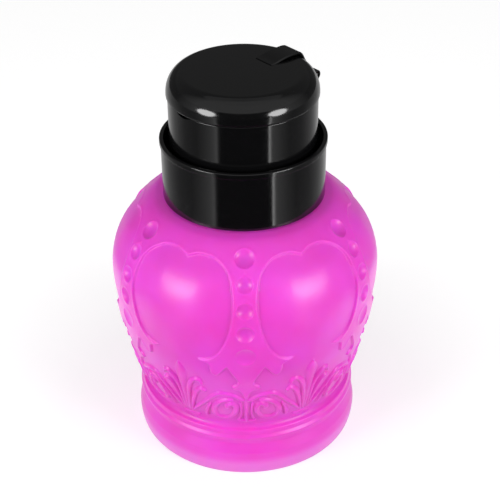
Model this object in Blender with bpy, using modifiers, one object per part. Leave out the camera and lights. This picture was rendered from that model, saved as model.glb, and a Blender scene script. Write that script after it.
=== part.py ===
"""Push-down dispenser pump on a waisted bottle, built as separate pieces.

Metres, +Z up. The origin is the centre of the bottle's base. Every outline is a half section
(radius, height) that is turned about Z.
"""
import math

import bmesh
import bpy
from mathutils import Matrix, Vector

# Gaps between pieces
SEAT_GAP = 0.0003
SLIDE_GAP = 0.0004
CUT_OVERRUN = 0.001

# Bottle body
FOOT_RADIUS = 0.0331
FOOT_HEIGHT = 0.0118
FOOT_EDGE = 0.0006
FOOT_FLARE = 0.0008
BEAD_HEIGHT = 0.0042
BEAD_PROUD = 0.0017
WAIST_RADIUS = 0.0303
BELLY_RADIUS = 0.03815
BELLY_RISE = 0.036
SHOULDER_RISE = 0.0244
LEDGE_RADIUS = 0.0243
BOTTLE_WALL = 0.0014
PUSH_UP = 0.0025
STANDING_RING = 0.0031
HEEL_ROUND = 0.003

# Shares of the rise from waist to belly, and of the growth in radius on that rise
FLANK_SHARES = (
    (0.0, 0.0),
    (0.083, 0.12),
    (0.194, 0.344),
    (0.333, 0.51),
    (0.5, 0.688),
    (0.667, 0.86),
    (0.833, 0.962),
    (1.0, 1.0),
)

# Shares of the rise from belly to ledge, and of the radius that is left above the ledge's own
SHOULDER_SHARES = (
    (0.246, 0.978),
    (0.451, 0.881),
    (0.656, 0.7),
    (0.803, 0.477),
    (0.943, 0.2),
    (1.0, 0.0),
)

# Bottle neck and screw thread
NECK_RADIUS = 0.0154
NECK_HEIGHT = 0.0121
NECK_WALL = 0.0022
THREAD_PITCH = 0.004
THREAD_RIB = 0.0008
THREAD_OUT = 0.0002
THREAD_MARGIN = 0.001
THREAD_ROOT = 0.0043
THREAD_GAP = 0.0005

# Gasket and pump housing
GASKET_THICKNESS = 0.001
GASKET_INSET = 0.0002
FLANGE_THICKNESS = 0.0012
FLANGE_INSET = 0.0006
CHAMBER_RADIUS = 0.0052
CHAMBER_DEPTH = 0.034
CHAMBER_WALL = 0.0013
BALL_ROOM = 0.001
SEAT_HOLE_RADIUS = 0.0015
SEAT_THROAT = 0.0012
INLET_BALL_RADIUS = 0.0024
INLET_LIFT = 0.001
TUBE_SOCKET_DEPTH = 0.008

# Dip tube
TUBE_RADIUS = 0.0026
TUBE_WALL = 0.0007
TUBE_FLOOR_GAP = 0.0015

# Stem, piston, retainer and outlet valve
STEM_RADIUS = 0.0026
STEM_BORE = 0.0013
STEM_GRIP = 0.0028
PISTON_HEIGHT = 0.005
PISTON_LIP = 0.0012
PISTON_WAIST_IN = 0.0007
RETAINER_HEIGHT = 0.0025
RETAINER_WALL = 0.0014
OUTLET_BALL_RADIUS = 0.0017
OUTLET_LIFT = 0.0006

# Ball cage and return spring
CAGE_HEIGHT = 0.0012
CAGE_HOLE_RADIUS = 0.0016
SPRING_WIRE = 0.0004
SPRING_TURNS = 8

# Chaplet and stem seal
CHAPLET_FLANGE_RADIUS = 0.0074
CHAPLET_FLANGE = 0.0012
CHAPLET_GUIDE = 0.0059
SEAL_RECESS_DEPTH = 0.0018
STEM_SEAL_WALL = 0.001
STEM_SEAL_HEIGHT = 0.0011

# Collar
COLLAR_BOSS_WALL = 0.0014
COLLAR_DECK = 0.0014
COLLAR_WEB = 0.0015
COLLAR_WALL = 0.0012
COLLAR_RISE = 0.0011
COLLAR_LIFT = 0.0004
COLLAR_EDGE = 0.0004
LIP_PROUD = 0.00035
LIP_HEIGHT = 0.0015

# Actuator
PRESS_TRAVEL = 0.007
BOSS_GAP = 0.0007
SKIRT_WALL = 0.0012
SLEEVE_GAP = 0.0012
WEB_CLEAR = 0.0017
BOSS_DROP = 0.0015
FLOOR_THICKNESS = 0.0012
RIM_RISE = 0.0032
SPOUT_WALL = 0.001
SCALLOP_RADIUS = 0.006
SCALLOP_DEPTH = 0.0008

# Dish tray and nozzle cap
TRAY_THICKNESS = 0.0008
TRAY_RIM_RISE = 0.0004
TRAY_RIM_WIDTH = 0.0022
NOZZLE_WALL = 0.0012
NOZZLE_TOP = 0.001
NOZZLE_HEAD_GAP = 0.0004
NOZZLE_EDGE = 0.0005
NOZZLE_HOLE_RADIUS = 0.00045
NOZZLE_HOLE_COUNT = 6
NOZZLE_HOLE_CIRCLE = 0.0022

# Lid and lid seal
LID_PROUD = 0.0004
LID_WALL = 0.0013
LID_SIDE = 0.0006
LID_SHOULDER_WIDTH = 0.0045
LID_SHOULDER_HEIGHT = 0.0059
SPIGOT_WALL = 0.001
GROOVE_DEPTH = 0.0024
SEAL_RING_WALL = 0.0009
SEAL_RING_DROP = 0.0018
LID_SEAL_RADIUS = 0.005

# Lid hinge and strap, in the hinge's own frame: outwards, along the pin, up
HINGE_ANGLE = math.radians(40)
PIN_RADIUS = 0.0005
PIN_END_INSET = 0.0002
KNUCKLE_WALL = 0.0005
KNUCKLE_HALF_WIDTH = 0.0046
EAR_WIDTH = 0.0024
EAR_FOOT_DROP = 0.0039
NOTCH_SIDE_GAP = 0.0003
STRAP_HALF_WIDTH = 0.0033
STRAP_THICKNESS = 0.0009
STRAP_LIFT = 0.0011
STRAP_START = 0.0073

# Shares of the strap's reach from its inner end to the knuckle, and of its rise above the pin
STRAP_SHARES = (
    (0.124, 0.872),
    (0.27, 0.94),
    (0.415, 0.983),
    (0.6, 1.0),
    (0.72, 0.974),
    (0.778, 0.897),
    (0.822, 0.76),
    (0.865, 0.564),
    (0.915, 0.366),
    (0.943, 0.17),
    (0.945, 0.05),
)

# Facets
BODY_STEPS = 48
HEAD_STEPS = 40
CORE_STEPS = 20
CURVE_STEPS = 2
ARC_STEPS = 4
THREAD_STEPS = 20
SPRING_STEPS = 8
BALL_SEGMENTS = 16
BALL_RINGS = 8
MERGE_DISTANCE = 0.00001

# Heights, from the base up
WAIST_Z = FOOT_HEIGHT + BEAD_HEIGHT
BELLY_Z = WAIST_Z + BELLY_RISE
LEDGE_Z = BELLY_Z + SHOULDER_RISE
NECK_TOP_Z = LEDGE_Z + NECK_HEIGHT
FLOOR_Z = PUSH_UP + BOTTLE_WALL
GASKET_Z = NECK_TOP_Z + SEAT_GAP
FLANGE_Z = GASKET_Z + GASKET_THICKNESS + SEAT_GAP
FLANGE_TOP_Z = FLANGE_Z + FLANGE_THICKNESS
DECK_Z = FLANGE_TOP_Z + SEAT_GAP
DECK_TOP_Z = DECK_Z + COLLAR_DECK
COLLAR_Z = LEDGE_Z + COLLAR_LIFT
COLLAR_TOP_Z = DECK_TOP_Z + COLLAR_RISE
WEB_TOP_Z = COLLAR_Z + COLLAR_WEB
CHAPLET_Z = FLANGE_TOP_Z + SEAT_GAP
CHAPLET_TOP_Z = CHAPLET_Z + CHAPLET_FLANGE
GUIDE_Z = CHAPLET_Z - CHAPLET_GUIDE
PISTON_TOP_Z = GUIDE_Z - SEAT_GAP
PISTON_Z = PISTON_TOP_Z - PISTON_HEIGHT
RETAINER_TOP_Z = PISTON_Z - SEAT_GAP
RETAINER_Z = RETAINER_TOP_Z - RETAINER_HEIGHT
CHAMBER_Z = FLANGE_Z - CHAMBER_DEPTH
CAGE_Z = CHAMBER_Z + SEAT_GAP
CAGE_TOP_Z = CAGE_Z + CAGE_HEIGHT
INLET_BALL_Z = CAGE_Z - SEAT_GAP - INLET_LIFT - INLET_BALL_RADIUS
SEAT_Z = INLET_BALL_Z - (INLET_BALL_RADIUS + SEAT_GAP) * math.sqrt(2) + SEAT_HOLE_RADIUS
SOCKET_TOP_Z = SEAT_Z - SEAT_THROAT
SOCKET_Z = SOCKET_TOP_Z - TUBE_SOCKET_DEPTH
HEAD_STOP_Z = max(DECK_TOP_Z, CHAPLET_TOP_Z) + SLIDE_GAP
BOSS_Z = HEAD_STOP_Z + PRESS_TRAVEL
HEAD_FLOOR_Z = BOSS_Z + BOSS_DROP
HEAD_FLOOR_TOP_Z = HEAD_FLOOR_Z + FLOOR_THICKNESS
STEM_TOP_Z = BOSS_Z + STEM_GRIP
RIM_Z = HEAD_FLOOR_TOP_Z + RIM_RISE
SKIRT_Z = WEB_TOP_Z + PRESS_TRAVEL + WEB_CLEAR
OUTLET_BALL_RISE = math.sqrt((OUTLET_BALL_RADIUS + SEAT_GAP) ** 2 - STEM_BORE ** 2)
OUTLET_BALL_Z = STEM_TOP_Z + OUTLET_BALL_RISE
NOZZLE_CEILING_Z = OUTLET_BALL_Z + OUTLET_BALL_RADIUS + OUTLET_LIFT + SEAT_GAP
SPOUT_TOP_Z = NOZZLE_CEILING_Z - NOZZLE_HEAD_GAP
NOZZLE_TOP_Z = NOZZLE_CEILING_Z + NOZZLE_TOP
TRAY_Z = HEAD_FLOOR_TOP_Z + SEAT_GAP
TRAY_TOP_Z = TRAY_Z + TRAY_THICKNESS
SPIGOT_Z = TRAY_TOP_Z + TRAY_RIM_RISE + SLIDE_GAP
LID_Z = RIM_Z + SEAT_GAP
LID_TOP_Z = LID_Z + LID_SIDE + LID_SHOULDER_HEIGHT
LID_CEILING_Z = LID_TOP_Z - LID_WALL
LID_SEAL_Z = NOZZLE_TOP_Z + SEAT_GAP

# Radii, from the neck out, and the hinge's places
NECK_BORE = NECK_RADIUS - NECK_WALL
BOSS_BORE = NECK_RADIUS + THREAD_OUT + THREAD_RIB + THREAD_GAP
BOSS_RADIUS = BOSS_BORE + COLLAR_BOSS_WALL
SKIRT_BORE = BOSS_RADIUS + BOSS_GAP
SKIRT_RADIUS = SKIRT_BORE + SKIRT_WALL
SLEEVE_BORE = SKIRT_RADIUS + SLEEVE_GAP
COLLAR_RADIUS = SLEEVE_BORE + COLLAR_WALL
LIP_RADIUS = COLLAR_RADIUS + LIP_PROUD
DECK_HOLE_RADIUS = CHAPLET_FLANGE_RADIUS + SLIDE_GAP
BALL_POCKET_RADIUS = INLET_BALL_RADIUS + BALL_ROOM
STEM_CLEAR = STEM_RADIUS + SEAT_GAP
RETAINER_RADIUS = STEM_CLEAR + RETAINER_WALL
STEM_SEAL_RADIUS = STEM_CLEAR + STEM_SEAL_WALL
SPOUT_RADIUS = STEM_CLEAR + SPOUT_WALL
NOZZLE_BORE = SPOUT_RADIUS + SEAT_GAP
NOZZLE_RADIUS = NOZZLE_BORE + NOZZLE_WALL
LID_RADIUS = SKIRT_RADIUS + LID_PROUD
LID_BORE = LID_RADIUS - LID_WALL
SPIGOT_RADIUS = SKIRT_BORE - SLIDE_GAP
SPIGOT_BORE = SPIGOT_RADIUS - SPIGOT_WALL
SEAL_RING_BORE = LID_SEAL_RADIUS + SEAT_GAP
PIVOT_OUT = SKIRT_RADIUS
PIN_HOLE_RADIUS = PIN_RADIUS + SEAT_GAP
KNUCKLE_RADIUS = PIN_HOLE_RADIUS + KNUCKLE_WALL
PIVOT_Z = RIM_Z + KNUCKLE_RADIUS + SEAT_GAP
EAR_START = KNUCKLE_HALF_WIDTH + SLIDE_GAP
EAR_END = EAR_START + EAR_WIDTH


def clear_scene():
    """Start from an empty scene."""
    for found in list(bpy.data.objects):
        bpy.data.objects.remove(found, do_unlink=True)


def new_collection(name):
    """A collection linked to the scene."""
    made = bpy.data.collections.new(name)
    bpy.context.scene.collection.children.link(made)
    return made


def plastic(name, colour, roughness):
    """A moulded plastic of one colour."""
    made = bpy.data.materials.new(name)
    made.use_nodes = True
    shader = made.node_tree.nodes["Principled BSDF"]
    shader.inputs["Base Color"].default_value = (*colour, 1)
    shader.inputs["Roughness"].default_value = roughness
    shader.inputs["Metallic"].default_value = 0
    return made


def steel(name):
    """Bright stainless steel."""
    made = plastic(name, (0.6, 0.6, 0.62), 0.25)
    made.node_tree.nodes["Principled BSDF"].inputs["Metallic"].default_value = 1
    return made


def add_object(name, mesh, collection, material=None):
    """Link a mesh to a collection under a name, with its material."""
    made = bpy.data.objects.new(name, mesh)
    collection.objects.link(made)
    if material:
        mesh.materials.append(material)
    return made


def as_cutter(piece):
    """Mark a piece as a guide for a Boolean."""
    piece.hide_render = True
    piece.display_type = 'WIRE'
    return piece


def turned(name, outline, steps, collection, material=None, closed=True):
    """Turn a half section about Z; a closed one makes a ring, an open one ends on the axis."""
    mesh = bpy.data.meshes.new(name)
    points = [(radius, 0, height) for radius, height in outline]
    edges = [(index, index + 1) for index in range(len(points) - 1)]
    if closed:
        edges.append((len(points) - 1, 0))
    mesh.from_pydata(points, edges, [])
    made = add_object(name, mesh, collection, material)
    screw = made.modifiers.new("turn", 'SCREW')
    screw.axis = 'Z'
    screw.angle = math.tau
    screw.steps = steps
    screw.render_steps = steps
    screw.use_merge_vertices = True
    screw.merge_threshold = MERGE_DISTANCE
    screw.use_smooth_shade = True
    return made


def boolean(piece, other, operation):
    """Join another body to the piece, or cut it away."""
    made = piece.modifiers.new(other.name, 'BOOLEAN')
    made.operation = operation
    made.object = other
    made.solver = 'EXACT'


def curve_to_mesh(piece):
    """Replace a curve object by the closed mesh of its evaluated form."""
    bpy.context.view_layer.update()
    evaluated = piece.evaluated_get(bpy.context.evaluated_depsgraph_get())
    mesh = bpy.data.meshes.new_from_object(evaluated)
    form = bmesh.new()
    form.from_mesh(mesh)
    bmesh.ops.remove_doubles(form, verts=form.verts, dist=MERGE_DISTANCE)
    bmesh.ops.recalc_face_normals(form, faces=form.faces)
    form.to_mesh(mesh)
    form.free()
    name = piece.name
    place = piece.matrix_world.copy()
    collection = piece.users_collection[0]
    bpy.data.objects.remove(piece, do_unlink=True)
    made = add_object(name, mesh, collection)
    made.matrix_world = place
    return made


def tube(name, points, radius, resolution, collection):
    """A round tube along the points, as a closed mesh."""
    curve = bpy.data.curves.new(name, 'CURVE')
    curve.dimensions = '3D'
    curve.bevel_depth = radius
    curve.bevel_resolution = resolution
    curve.use_fill_caps = True
    spline = curve.splines.new('POLY')
    spline.points.add(len(points) - 1)
    for point, place in zip(spline.points, points):
        point.co = (*place, 1)
    made = bpy.data.objects.new(name, curve)
    collection.objects.link(made)
    return curve_to_mesh(made)


def hinge_frame(out=0, along=0, up=0):
    """Place in the hinge's frame: outwards, along the pin and up, as a world matrix."""
    return Matrix.Rotation(HINGE_ANGLE, 4, 'Z') @ Matrix.Translation((out, along, up))


def plate(name, outline, half_thickness, along, collection):
    """A flat outline (out, up) in the hinge's frame, thick along the pin."""
    curve = bpy.data.curves.new(name, 'CURVE')
    curve.dimensions = '2D'
    curve.fill_mode = 'BOTH'
    curve.extrude = half_thickness
    spline = curve.splines.new('POLY')
    spline.points.add(len(outline) - 1)
    for point, (out, up) in zip(spline.points, outline):
        point.co = (out, up, 0, 1)
    spline.use_cyclic_u = True
    made = bpy.data.objects.new(name, curve)
    collection.objects.link(made)
    made.matrix_world = hinge_frame(along=along) @ Matrix.Rotation(math.pi / 2, 4, 'X')
    return curve_to_mesh(made)


def rod(name, radius, length, place, collection, material=None):
    """A round rod centred on a place, whose axis is the place's Z."""
    mesh = bpy.data.meshes.new(name)
    form = bmesh.new()
    bmesh.ops.create_cone(form, cap_ends=True, segments=CORE_STEPS, radius1=radius, radius2=radius,
                          depth=length)
    form.to_mesh(mesh)
    form.free()
    made = add_object(name, mesh, collection, material)
    made.matrix_world = place
    return made


def block(name, low, high, collection):
    """A box between two corners in the hinge's frame."""
    mesh = bpy.data.meshes.new(name)
    form = bmesh.new()
    size = [end - start for start, end in zip(low, high)]
    middle = [(start + end) / 2 for start, end in zip(low, high)]
    bmesh.ops.create_cube(form, size=1, matrix=Matrix.Diagonal((*size, 1)))
    form.to_mesh(mesh)
    form.free()
    made = add_object(name, mesh, collection)
    made.matrix_world = hinge_frame(*middle)
    return made


def ball(name, radius, height, collection, material):
    """A ball centred on the axis, with its origin at its centre."""
    mesh = bpy.data.meshes.new(name)
    form = bmesh.new()
    bmesh.ops.create_uvsphere(form, u_segments=BALL_SEGMENTS, v_segments=BALL_RINGS, radius=radius)
    form.to_mesh(mesh)
    form.free()
    mesh.shade_smooth()
    made = add_object(name, mesh, collection, material)
    made.location.z = height
    return made


def smooth_curve(points, steps):
    """A smooth curve through the points, with so many steps from each to the next."""
    path = []
    for index in range(len(points) - 1):
        here = Vector(points[index])
        there = Vector(points[index + 1])
        before = Vector(points[index - 1]) if index else here
        after = Vector(points[index + 2]) if index + 2 < len(points) else there
        for step in range(steps):
            share = step / steps
            leave = (there - before) * share * (1 - share) ** 2 / 2
            arrive = (after - here) * share ** 2 * (share - 1) / 2
            blend = share ** 2 * (3 - 2 * share)
            path.append(tuple(here.lerp(there, blend) + leave + arrive))
    path.append(tuple(points[-1]))
    return path


def inset(path, distance):
    """Move each point of an upward outer outline inwards, square to the outline."""
    moved = []
    for index, (radius, height) in enumerate(path):
        before = Vector(path[max(index - 1, 0)])
        after = Vector(path[min(index + 1, len(path) - 1)])
        along = (after - before).normalized()
        moved.append((radius - along.y * distance, height + along.x * distance))
    return moved


def arc(centre, radius, start, end, steps):
    """Points on an arc from one angle to another, in degrees."""
    points = []
    for step in range(steps + 1):
        angle = math.radians(start + (end - start) * step / steps)
        points.append((centre[0] + radius * math.cos(angle), centre[1] + radius * math.sin(angle)))
    return points


def helix(radius, pitch, turns, low, steps):
    """Points along a right-handed helix about Z."""
    count = round(turns * steps)
    points = []
    for step in range(count + 1):
        angle = math.tau * turns * step / count
        points.append((radius * math.cos(angle), radius * math.sin(angle),
                       low + pitch * turns * step / count))
    return points


def body_outline(steps):
    """Outside of the bottle's body, from the waist up to the ledge."""
    points = []
    for rise_share, radius_share in FLANK_SHARES:
        radius = WAIST_RADIUS + (BELLY_RADIUS - WAIST_RADIUS) * radius_share
        points.append((radius, WAIST_Z + BELLY_RISE * rise_share))
    for rise_share, radius_share in SHOULDER_SHARES:
        radius = LEDGE_RADIUS + (BELLY_RADIUS - LEDGE_RADIUS) * radius_share
        points.append((radius, BELLY_Z + SHOULDER_RISE * rise_share))
    return smooth_curve(points, steps)


def foot_outline():
    """Outside of the foot band and the bead above it, from the base up to the waist."""
    band_top = FOOT_RADIUS - FOOT_FLARE
    bead = (WAIST_RADIUS, FOOT_HEIGHT + BEAD_HEIGHT / 2)
    points = [(FOOT_RADIUS - FOOT_EDGE, 0), (FOOT_RADIUS, FOOT_EDGE)]
    points.append(((FOOT_RADIUS + band_top) / 2, FOOT_HEIGHT / 2))
    points.append((band_top, FOOT_HEIGHT - FOOT_EDGE))
    points.append((band_top - FOOT_EDGE, FOOT_HEIGHT))
    for out, up in arc((0, 0), 1, -60, 60, ARC_STEPS):
        points.append((bead[0] + out * BEAD_PROUD, bead[1] + up * BEAD_HEIGHT / 2))
    return points


def thread_points(radius, drop):
    """Helix of the neck's thread at a radius, let down by so much for the collar's own."""
    length = NECK_HEIGHT - THREAD_MARGIN - THREAD_RIB - THREAD_ROOT
    low = LEDGE_Z + THREAD_ROOT - drop
    return helix(radius, THREAD_PITCH, length / THREAD_PITCH, low, THREAD_STEPS)


def build_bottle(collection, cutters, material):
    """Blow-moulded bottle with a push-up base and a threaded neck."""
    body = body_outline(CURVE_STEPS)
    foot = foot_outline()
    heel = FOOT_RADIUS - FOOT_FLARE - BOTTLE_WALL
    ring_in = FOOT_RADIUS - FOOT_EDGE - STANDING_RING
    outer = foot + body + [(NECK_RADIUS, LEDGE_Z), (NECK_RADIUS, NECK_TOP_Z)]
    inner = [(0, FLOOR_Z)]
    inner += arc((heel - HEEL_ROUND, FLOOR_Z + HEEL_ROUND), HEEL_ROUND, -90, 0, ARC_STEPS)
    inner.append((heel, FOOT_HEIGHT - BOTTLE_WALL))
    inner += inset(body_outline(1), BOTTLE_WALL)[1:]
    inner += [(NECK_BORE, LEDGE_Z - BOTTLE_WALL), (NECK_BORE, NECK_TOP_Z)]
    underside = [(ring_in, 0), (ring_in - PUSH_UP, PUSH_UP), (0, PUSH_UP)]
    outline = inner + outer[::-1] + underside
    bottle = turned("bottle", outline, BODY_STEPS, collection, material, closed=False)
    points = thread_points(NECK_RADIUS + THREAD_OUT, 0)
    rib = as_cutter(tube("neck_thread", points, THREAD_RIB, 1, cutters))
    boolean(bottle, rib, 'UNION')
    return bottle


def build_collar(collection, cutters, material):
    """Screw closure: an inner threaded boss and an outer sleeve that hides the pump head."""
    outline = [
        (LIP_RADIUS, COLLAR_TOP_Z),
        (LIP_RADIUS, COLLAR_TOP_Z - LIP_HEIGHT),
        (COLLAR_RADIUS, COLLAR_TOP_Z - LIP_HEIGHT - LIP_PROUD),
        (COLLAR_RADIUS, COLLAR_Z + COLLAR_EDGE),
        (COLLAR_RADIUS - COLLAR_EDGE, COLLAR_Z),
        (BOSS_BORE, COLLAR_Z),
        (BOSS_BORE, DECK_Z),
        (DECK_HOLE_RADIUS, DECK_Z),
        (DECK_HOLE_RADIUS, DECK_TOP_Z),
        (BOSS_RADIUS, DECK_TOP_Z),
        (BOSS_RADIUS, WEB_TOP_Z),
        (SLEEVE_BORE, WEB_TOP_Z),
        (SLEEVE_BORE, COLLAR_TOP_Z - LIP_HEIGHT),
        (SLEEVE_BORE + LIP_PROUD, COLLAR_TOP_Z),
    ]
    collar = turned("collar", outline, BODY_STEPS, collection, material)
    neck_line = NECK_RADIUS + THREAD_OUT
    boss_line = BOSS_BORE - THREAD_OUT
    reach = THREAD_RIB * 2 + SEAT_GAP
    drop = math.sqrt(reach ** 2 - (boss_line - neck_line) ** 2)
    rib = as_cutter(tube("collar_thread", thread_points(boss_line, drop), THREAD_RIB, 1, cutters))
    boolean(collar, rib, 'UNION')
    return collar


def build_neck_gasket(collection, material):
    """Flat ring between the neck and the housing's flange."""
    outer = NECK_RADIUS - GASKET_INSET
    inner = NECK_BORE - GASKET_INSET
    top = GASKET_Z + GASKET_THICKNESS
    outline = [(outer, top), (outer, GASKET_Z), (inner, GASKET_Z), (inner, top)]
    return turned("neck_gasket", outline, HEAD_STEPS, collection, material)


def build_pump_housing(collection, material):
    """Flanged chamber with the inlet valve's seat and the dip tube's socket below it."""
    chamber_out = CHAMBER_RADIUS + CHAMBER_WALL
    pocket_out = BALL_POCKET_RADIUS + CHAMBER_WALL
    socket_bore = TUBE_RADIUS + SEAT_GAP
    socket_out = socket_bore + CHAMBER_WALL
    pocket_top = CHAMBER_Z - CHAMBER_WALL
    outline = [
        (NECK_RADIUS - FLANGE_INSET, FLANGE_TOP_Z),
        (NECK_RADIUS - FLANGE_INSET, FLANGE_Z),
        (chamber_out, FLANGE_Z),
        (chamber_out, pocket_top),
        (pocket_out, pocket_top - CHAMBER_WALL),
        (pocket_out, SEAT_Z),
        (socket_out, SEAT_Z - SEAT_THROAT / 2),
        (socket_out, SOCKET_Z),
        (socket_bore, SOCKET_Z),
        (socket_bore, SOCKET_TOP_Z),
        (SEAT_HOLE_RADIUS, SOCKET_TOP_Z),
        (SEAT_HOLE_RADIUS, SEAT_Z),
        (BALL_POCKET_RADIUS, SEAT_Z + BALL_POCKET_RADIUS - SEAT_HOLE_RADIUS),
        (BALL_POCKET_RADIUS, CHAMBER_Z),
        (CHAMBER_RADIUS, CHAMBER_Z),
        (CHAMBER_RADIUS, FLANGE_TOP_Z),
    ]
    return turned("pump_housing", outline, CORE_STEPS, collection, material)


def build_dip_tube(collection, material):
    """Straight tube from the housing's socket to just above the bottle's floor."""
    bore = TUBE_RADIUS - TUBE_WALL
    top = SOCKET_TOP_Z - SEAT_GAP
    bottom = FLOOR_Z + TUBE_FLOOR_GAP
    outline = [(TUBE_RADIUS, top), (TUBE_RADIUS, bottom), (bore, bottom), (bore, top)]
    return turned("dip_tube", outline, CORE_STEPS, collection, material)


def build_inlet_ball(collection, material):
    """Valve ball on the cone at the chamber's foot."""
    return ball("inlet_ball", INLET_BALL_RADIUS, INLET_BALL_Z, collection, material)


def build_ball_cage(collection, material):
    """Ring that keeps the inlet ball down and carries the spring."""
    outer = CHAMBER_RADIUS - SEAT_GAP
    outline = [(outer, CAGE_TOP_Z), (outer, CAGE_Z), (CAGE_HOLE_RADIUS, CAGE_Z),
               (CAGE_HOLE_RADIUS, CAGE_TOP_Z)]
    return turned("ball_cage", outline, CORE_STEPS, collection, material)


def least_gap(points, radius, skip):
    """Smallest clear distance between parts of a tube that are more than skip points apart."""
    gap = math.inf
    for index, place in enumerate(points):
        for other in points[index + skip:]:
            gap = min(gap, math.dist(place, other) - radius * 2)
    return gap


def build_return_spring(collection, material):
    """Helical spring between the ball cage and the piston's retainer."""
    low = CAGE_TOP_Z + SEAT_GAP + SPRING_WIRE
    high = RETAINER_Z - SEAT_GAP - SPRING_WIRE
    pitch = (high - low) / SPRING_TURNS
    radius = (STEM_CLEAR + RETAINER_RADIUS) / 2
    points = helix(radius, pitch, SPRING_TURNS, low, SPRING_STEPS)
    gap = least_gap(points, SPRING_WIRE, SPRING_STEPS // 2)
    print(f"return_spring: least gap to itself {gap:.5f} m")
    spring = tube("return_spring", points, SPRING_WIRE, 1, collection)
    spring.data.materials.append(material)
    return spring


def build_chaplet(collection, material):
    """Guide that closes the chamber round the stem, with a recess for the stem's seal."""
    guide = CHAMBER_RADIUS - SEAT_GAP
    recess = CHAPLET_TOP_Z - SEAL_RECESS_DEPTH
    recess_radius = STEM_SEAL_RADIUS + SEAT_GAP
    outline = [
        (CHAPLET_FLANGE_RADIUS, CHAPLET_TOP_Z),
        (CHAPLET_FLANGE_RADIUS, CHAPLET_Z),
        (guide, CHAPLET_Z),
        (guide, GUIDE_Z),
        (STEM_CLEAR, GUIDE_Z),
        (STEM_CLEAR, recess),
        (recess_radius, recess),
        (recess_radius, CHAPLET_TOP_Z),
    ]
    return turned("chaplet", outline, CORE_STEPS, collection, material)


def build_stem_seal(collection, material):
    """Ring seal round the stem, in the chaplet's recess."""
    low = CHAPLET_TOP_Z - SEAL_RECESS_DEPTH + SEAT_GAP
    high = low + STEM_SEAL_HEIGHT
    outline = [(STEM_SEAL_RADIUS, high), (STEM_SEAL_RADIUS, low), (STEM_CLEAR, low),
               (STEM_CLEAR, high)]
    return turned("stem_seal", outline, CORE_STEPS, collection, material)


def build_stem(collection, material):
    """Hollow stem from the retainer up to the outlet valve."""
    outline = [(STEM_RADIUS, STEM_TOP_Z), (STEM_RADIUS, RETAINER_Z), (STEM_BORE, RETAINER_Z),
               (STEM_BORE, STEM_TOP_Z)]
    return turned("stem", outline, CORE_STEPS, collection, material)


def build_piston(collection, material):
    """Seal with a lip at each end that slides in the chamber."""
    lip = CHAMBER_RADIUS - SEAT_GAP
    waist = lip - PISTON_WAIST_IN
    outline = [
        (lip, PISTON_TOP_Z),
        (lip, PISTON_TOP_Z - PISTON_LIP),
        (waist, PISTON_TOP_Z - PISTON_LIP - PISTON_WAIST_IN),
        (waist, PISTON_Z + PISTON_LIP + PISTON_WAIST_IN),
        (lip, PISTON_Z + PISTON_LIP),
        (lip, PISTON_Z),
        (STEM_CLEAR, PISTON_Z),
        (STEM_CLEAR, PISTON_TOP_Z),
    ]
    return turned("piston", outline, CORE_STEPS, collection, material)


def build_piston_retainer(collection, material):
    """Ring under the piston that the spring pushes on."""
    outline = [(RETAINER_RADIUS, RETAINER_TOP_Z), (RETAINER_RADIUS, RETAINER_Z),
               (STEM_CLEAR, RETAINER_Z), (STEM_CLEAR, RETAINER_TOP_Z)]
    return turned("piston_retainer", outline, CORE_STEPS, collection, material)


def build_outlet_ball(collection, material):
    """Valve ball on the stem's open end."""
    return ball("outlet_ball", OUTLET_BALL_RADIUS, OUTLET_BALL_Z, collection, material)


def ear_outline():
    """Side view (out, up) of a hinge ear: an eye round the pin on a foot in the skirt's wall."""
    middle = (EAR_START + EAR_END) / 2
    root = math.sqrt((SKIRT_RADIUS - SKIRT_WALL / 2) ** 2 - middle ** 2)
    shelf = RIM_Z - SEAT_GAP
    outline = [(root, RIM_Z - EAR_FOOT_DROP), (root, shelf), (PIVOT_OUT - KNUCKLE_RADIUS, shelf)]
    outline += arc((PIVOT_OUT, PIVOT_Z), KNUCKLE_RADIUS, 180, -40, 2 * ARC_STEPS)
    return outline


def pin_place():
    """Centre of the hinge pin, with its axis along Z of the place."""
    return hinge_frame(PIVOT_OUT, 0, PIVOT_Z) @ Matrix.Rotation(math.pi / 2, 4, 'X')


def build_pin_hole(cutters):
    """Cutter for the hinge's bore."""
    length = (EAR_END + CUT_OVERRUN) * 2
    return as_cutter(rod("pin_hole", PIN_HOLE_RADIUS, length, pin_place(), cutters))


def build_actuator(collection, cutters, pin_hole, material):
    """Pump head: a skirt, a floor with the stem's socket and spout, and the hinge's ears."""
    outline = [
        (SKIRT_RADIUS, RIM_Z),
        (SKIRT_RADIUS, SKIRT_Z),
        (SKIRT_BORE, SKIRT_Z),
        (SKIRT_BORE, HEAD_FLOOR_Z),
        (SPOUT_RADIUS, HEAD_FLOOR_Z),
        (SPOUT_RADIUS, BOSS_Z),
        (STEM_CLEAR, BOSS_Z),
        (STEM_CLEAR, SPOUT_TOP_Z),
        (SPOUT_RADIUS, SPOUT_TOP_Z),
        (SPOUT_RADIUS, HEAD_FLOOR_TOP_Z),
        (SKIRT_BORE, HEAD_FLOOR_TOP_Z),
        (SKIRT_BORE, RIM_Z),
    ]
    actuator = turned("actuator", outline, BODY_STEPS, collection, material)
    middle = (EAR_START + EAR_END) / 2
    for side, along in (("left", -middle), ("right", middle)):
        ear = as_cutter(plate(f"ear_{side}", ear_outline(), EAR_WIDTH / 2, along, cutters))
        boolean(actuator, ear, 'UNION')
    boolean(actuator, pin_hole, 'DIFFERENCE')
    scallop_z = RIM_Z + SCALLOP_RADIUS - SCALLOP_DEPTH
    place = hinge_frame(-SKIRT_RADIUS, 0, scallop_z) @ Matrix.Rotation(math.pi / 2, 4, 'Y')
    length = (SKIRT_WALL + CUT_OVERRUN) * 2
    scallop = as_cutter(rod("thumb_scallop", SCALLOP_RADIUS, length, place, cutters))
    boolean(actuator, scallop, 'DIFFERENCE')
    return actuator


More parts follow.
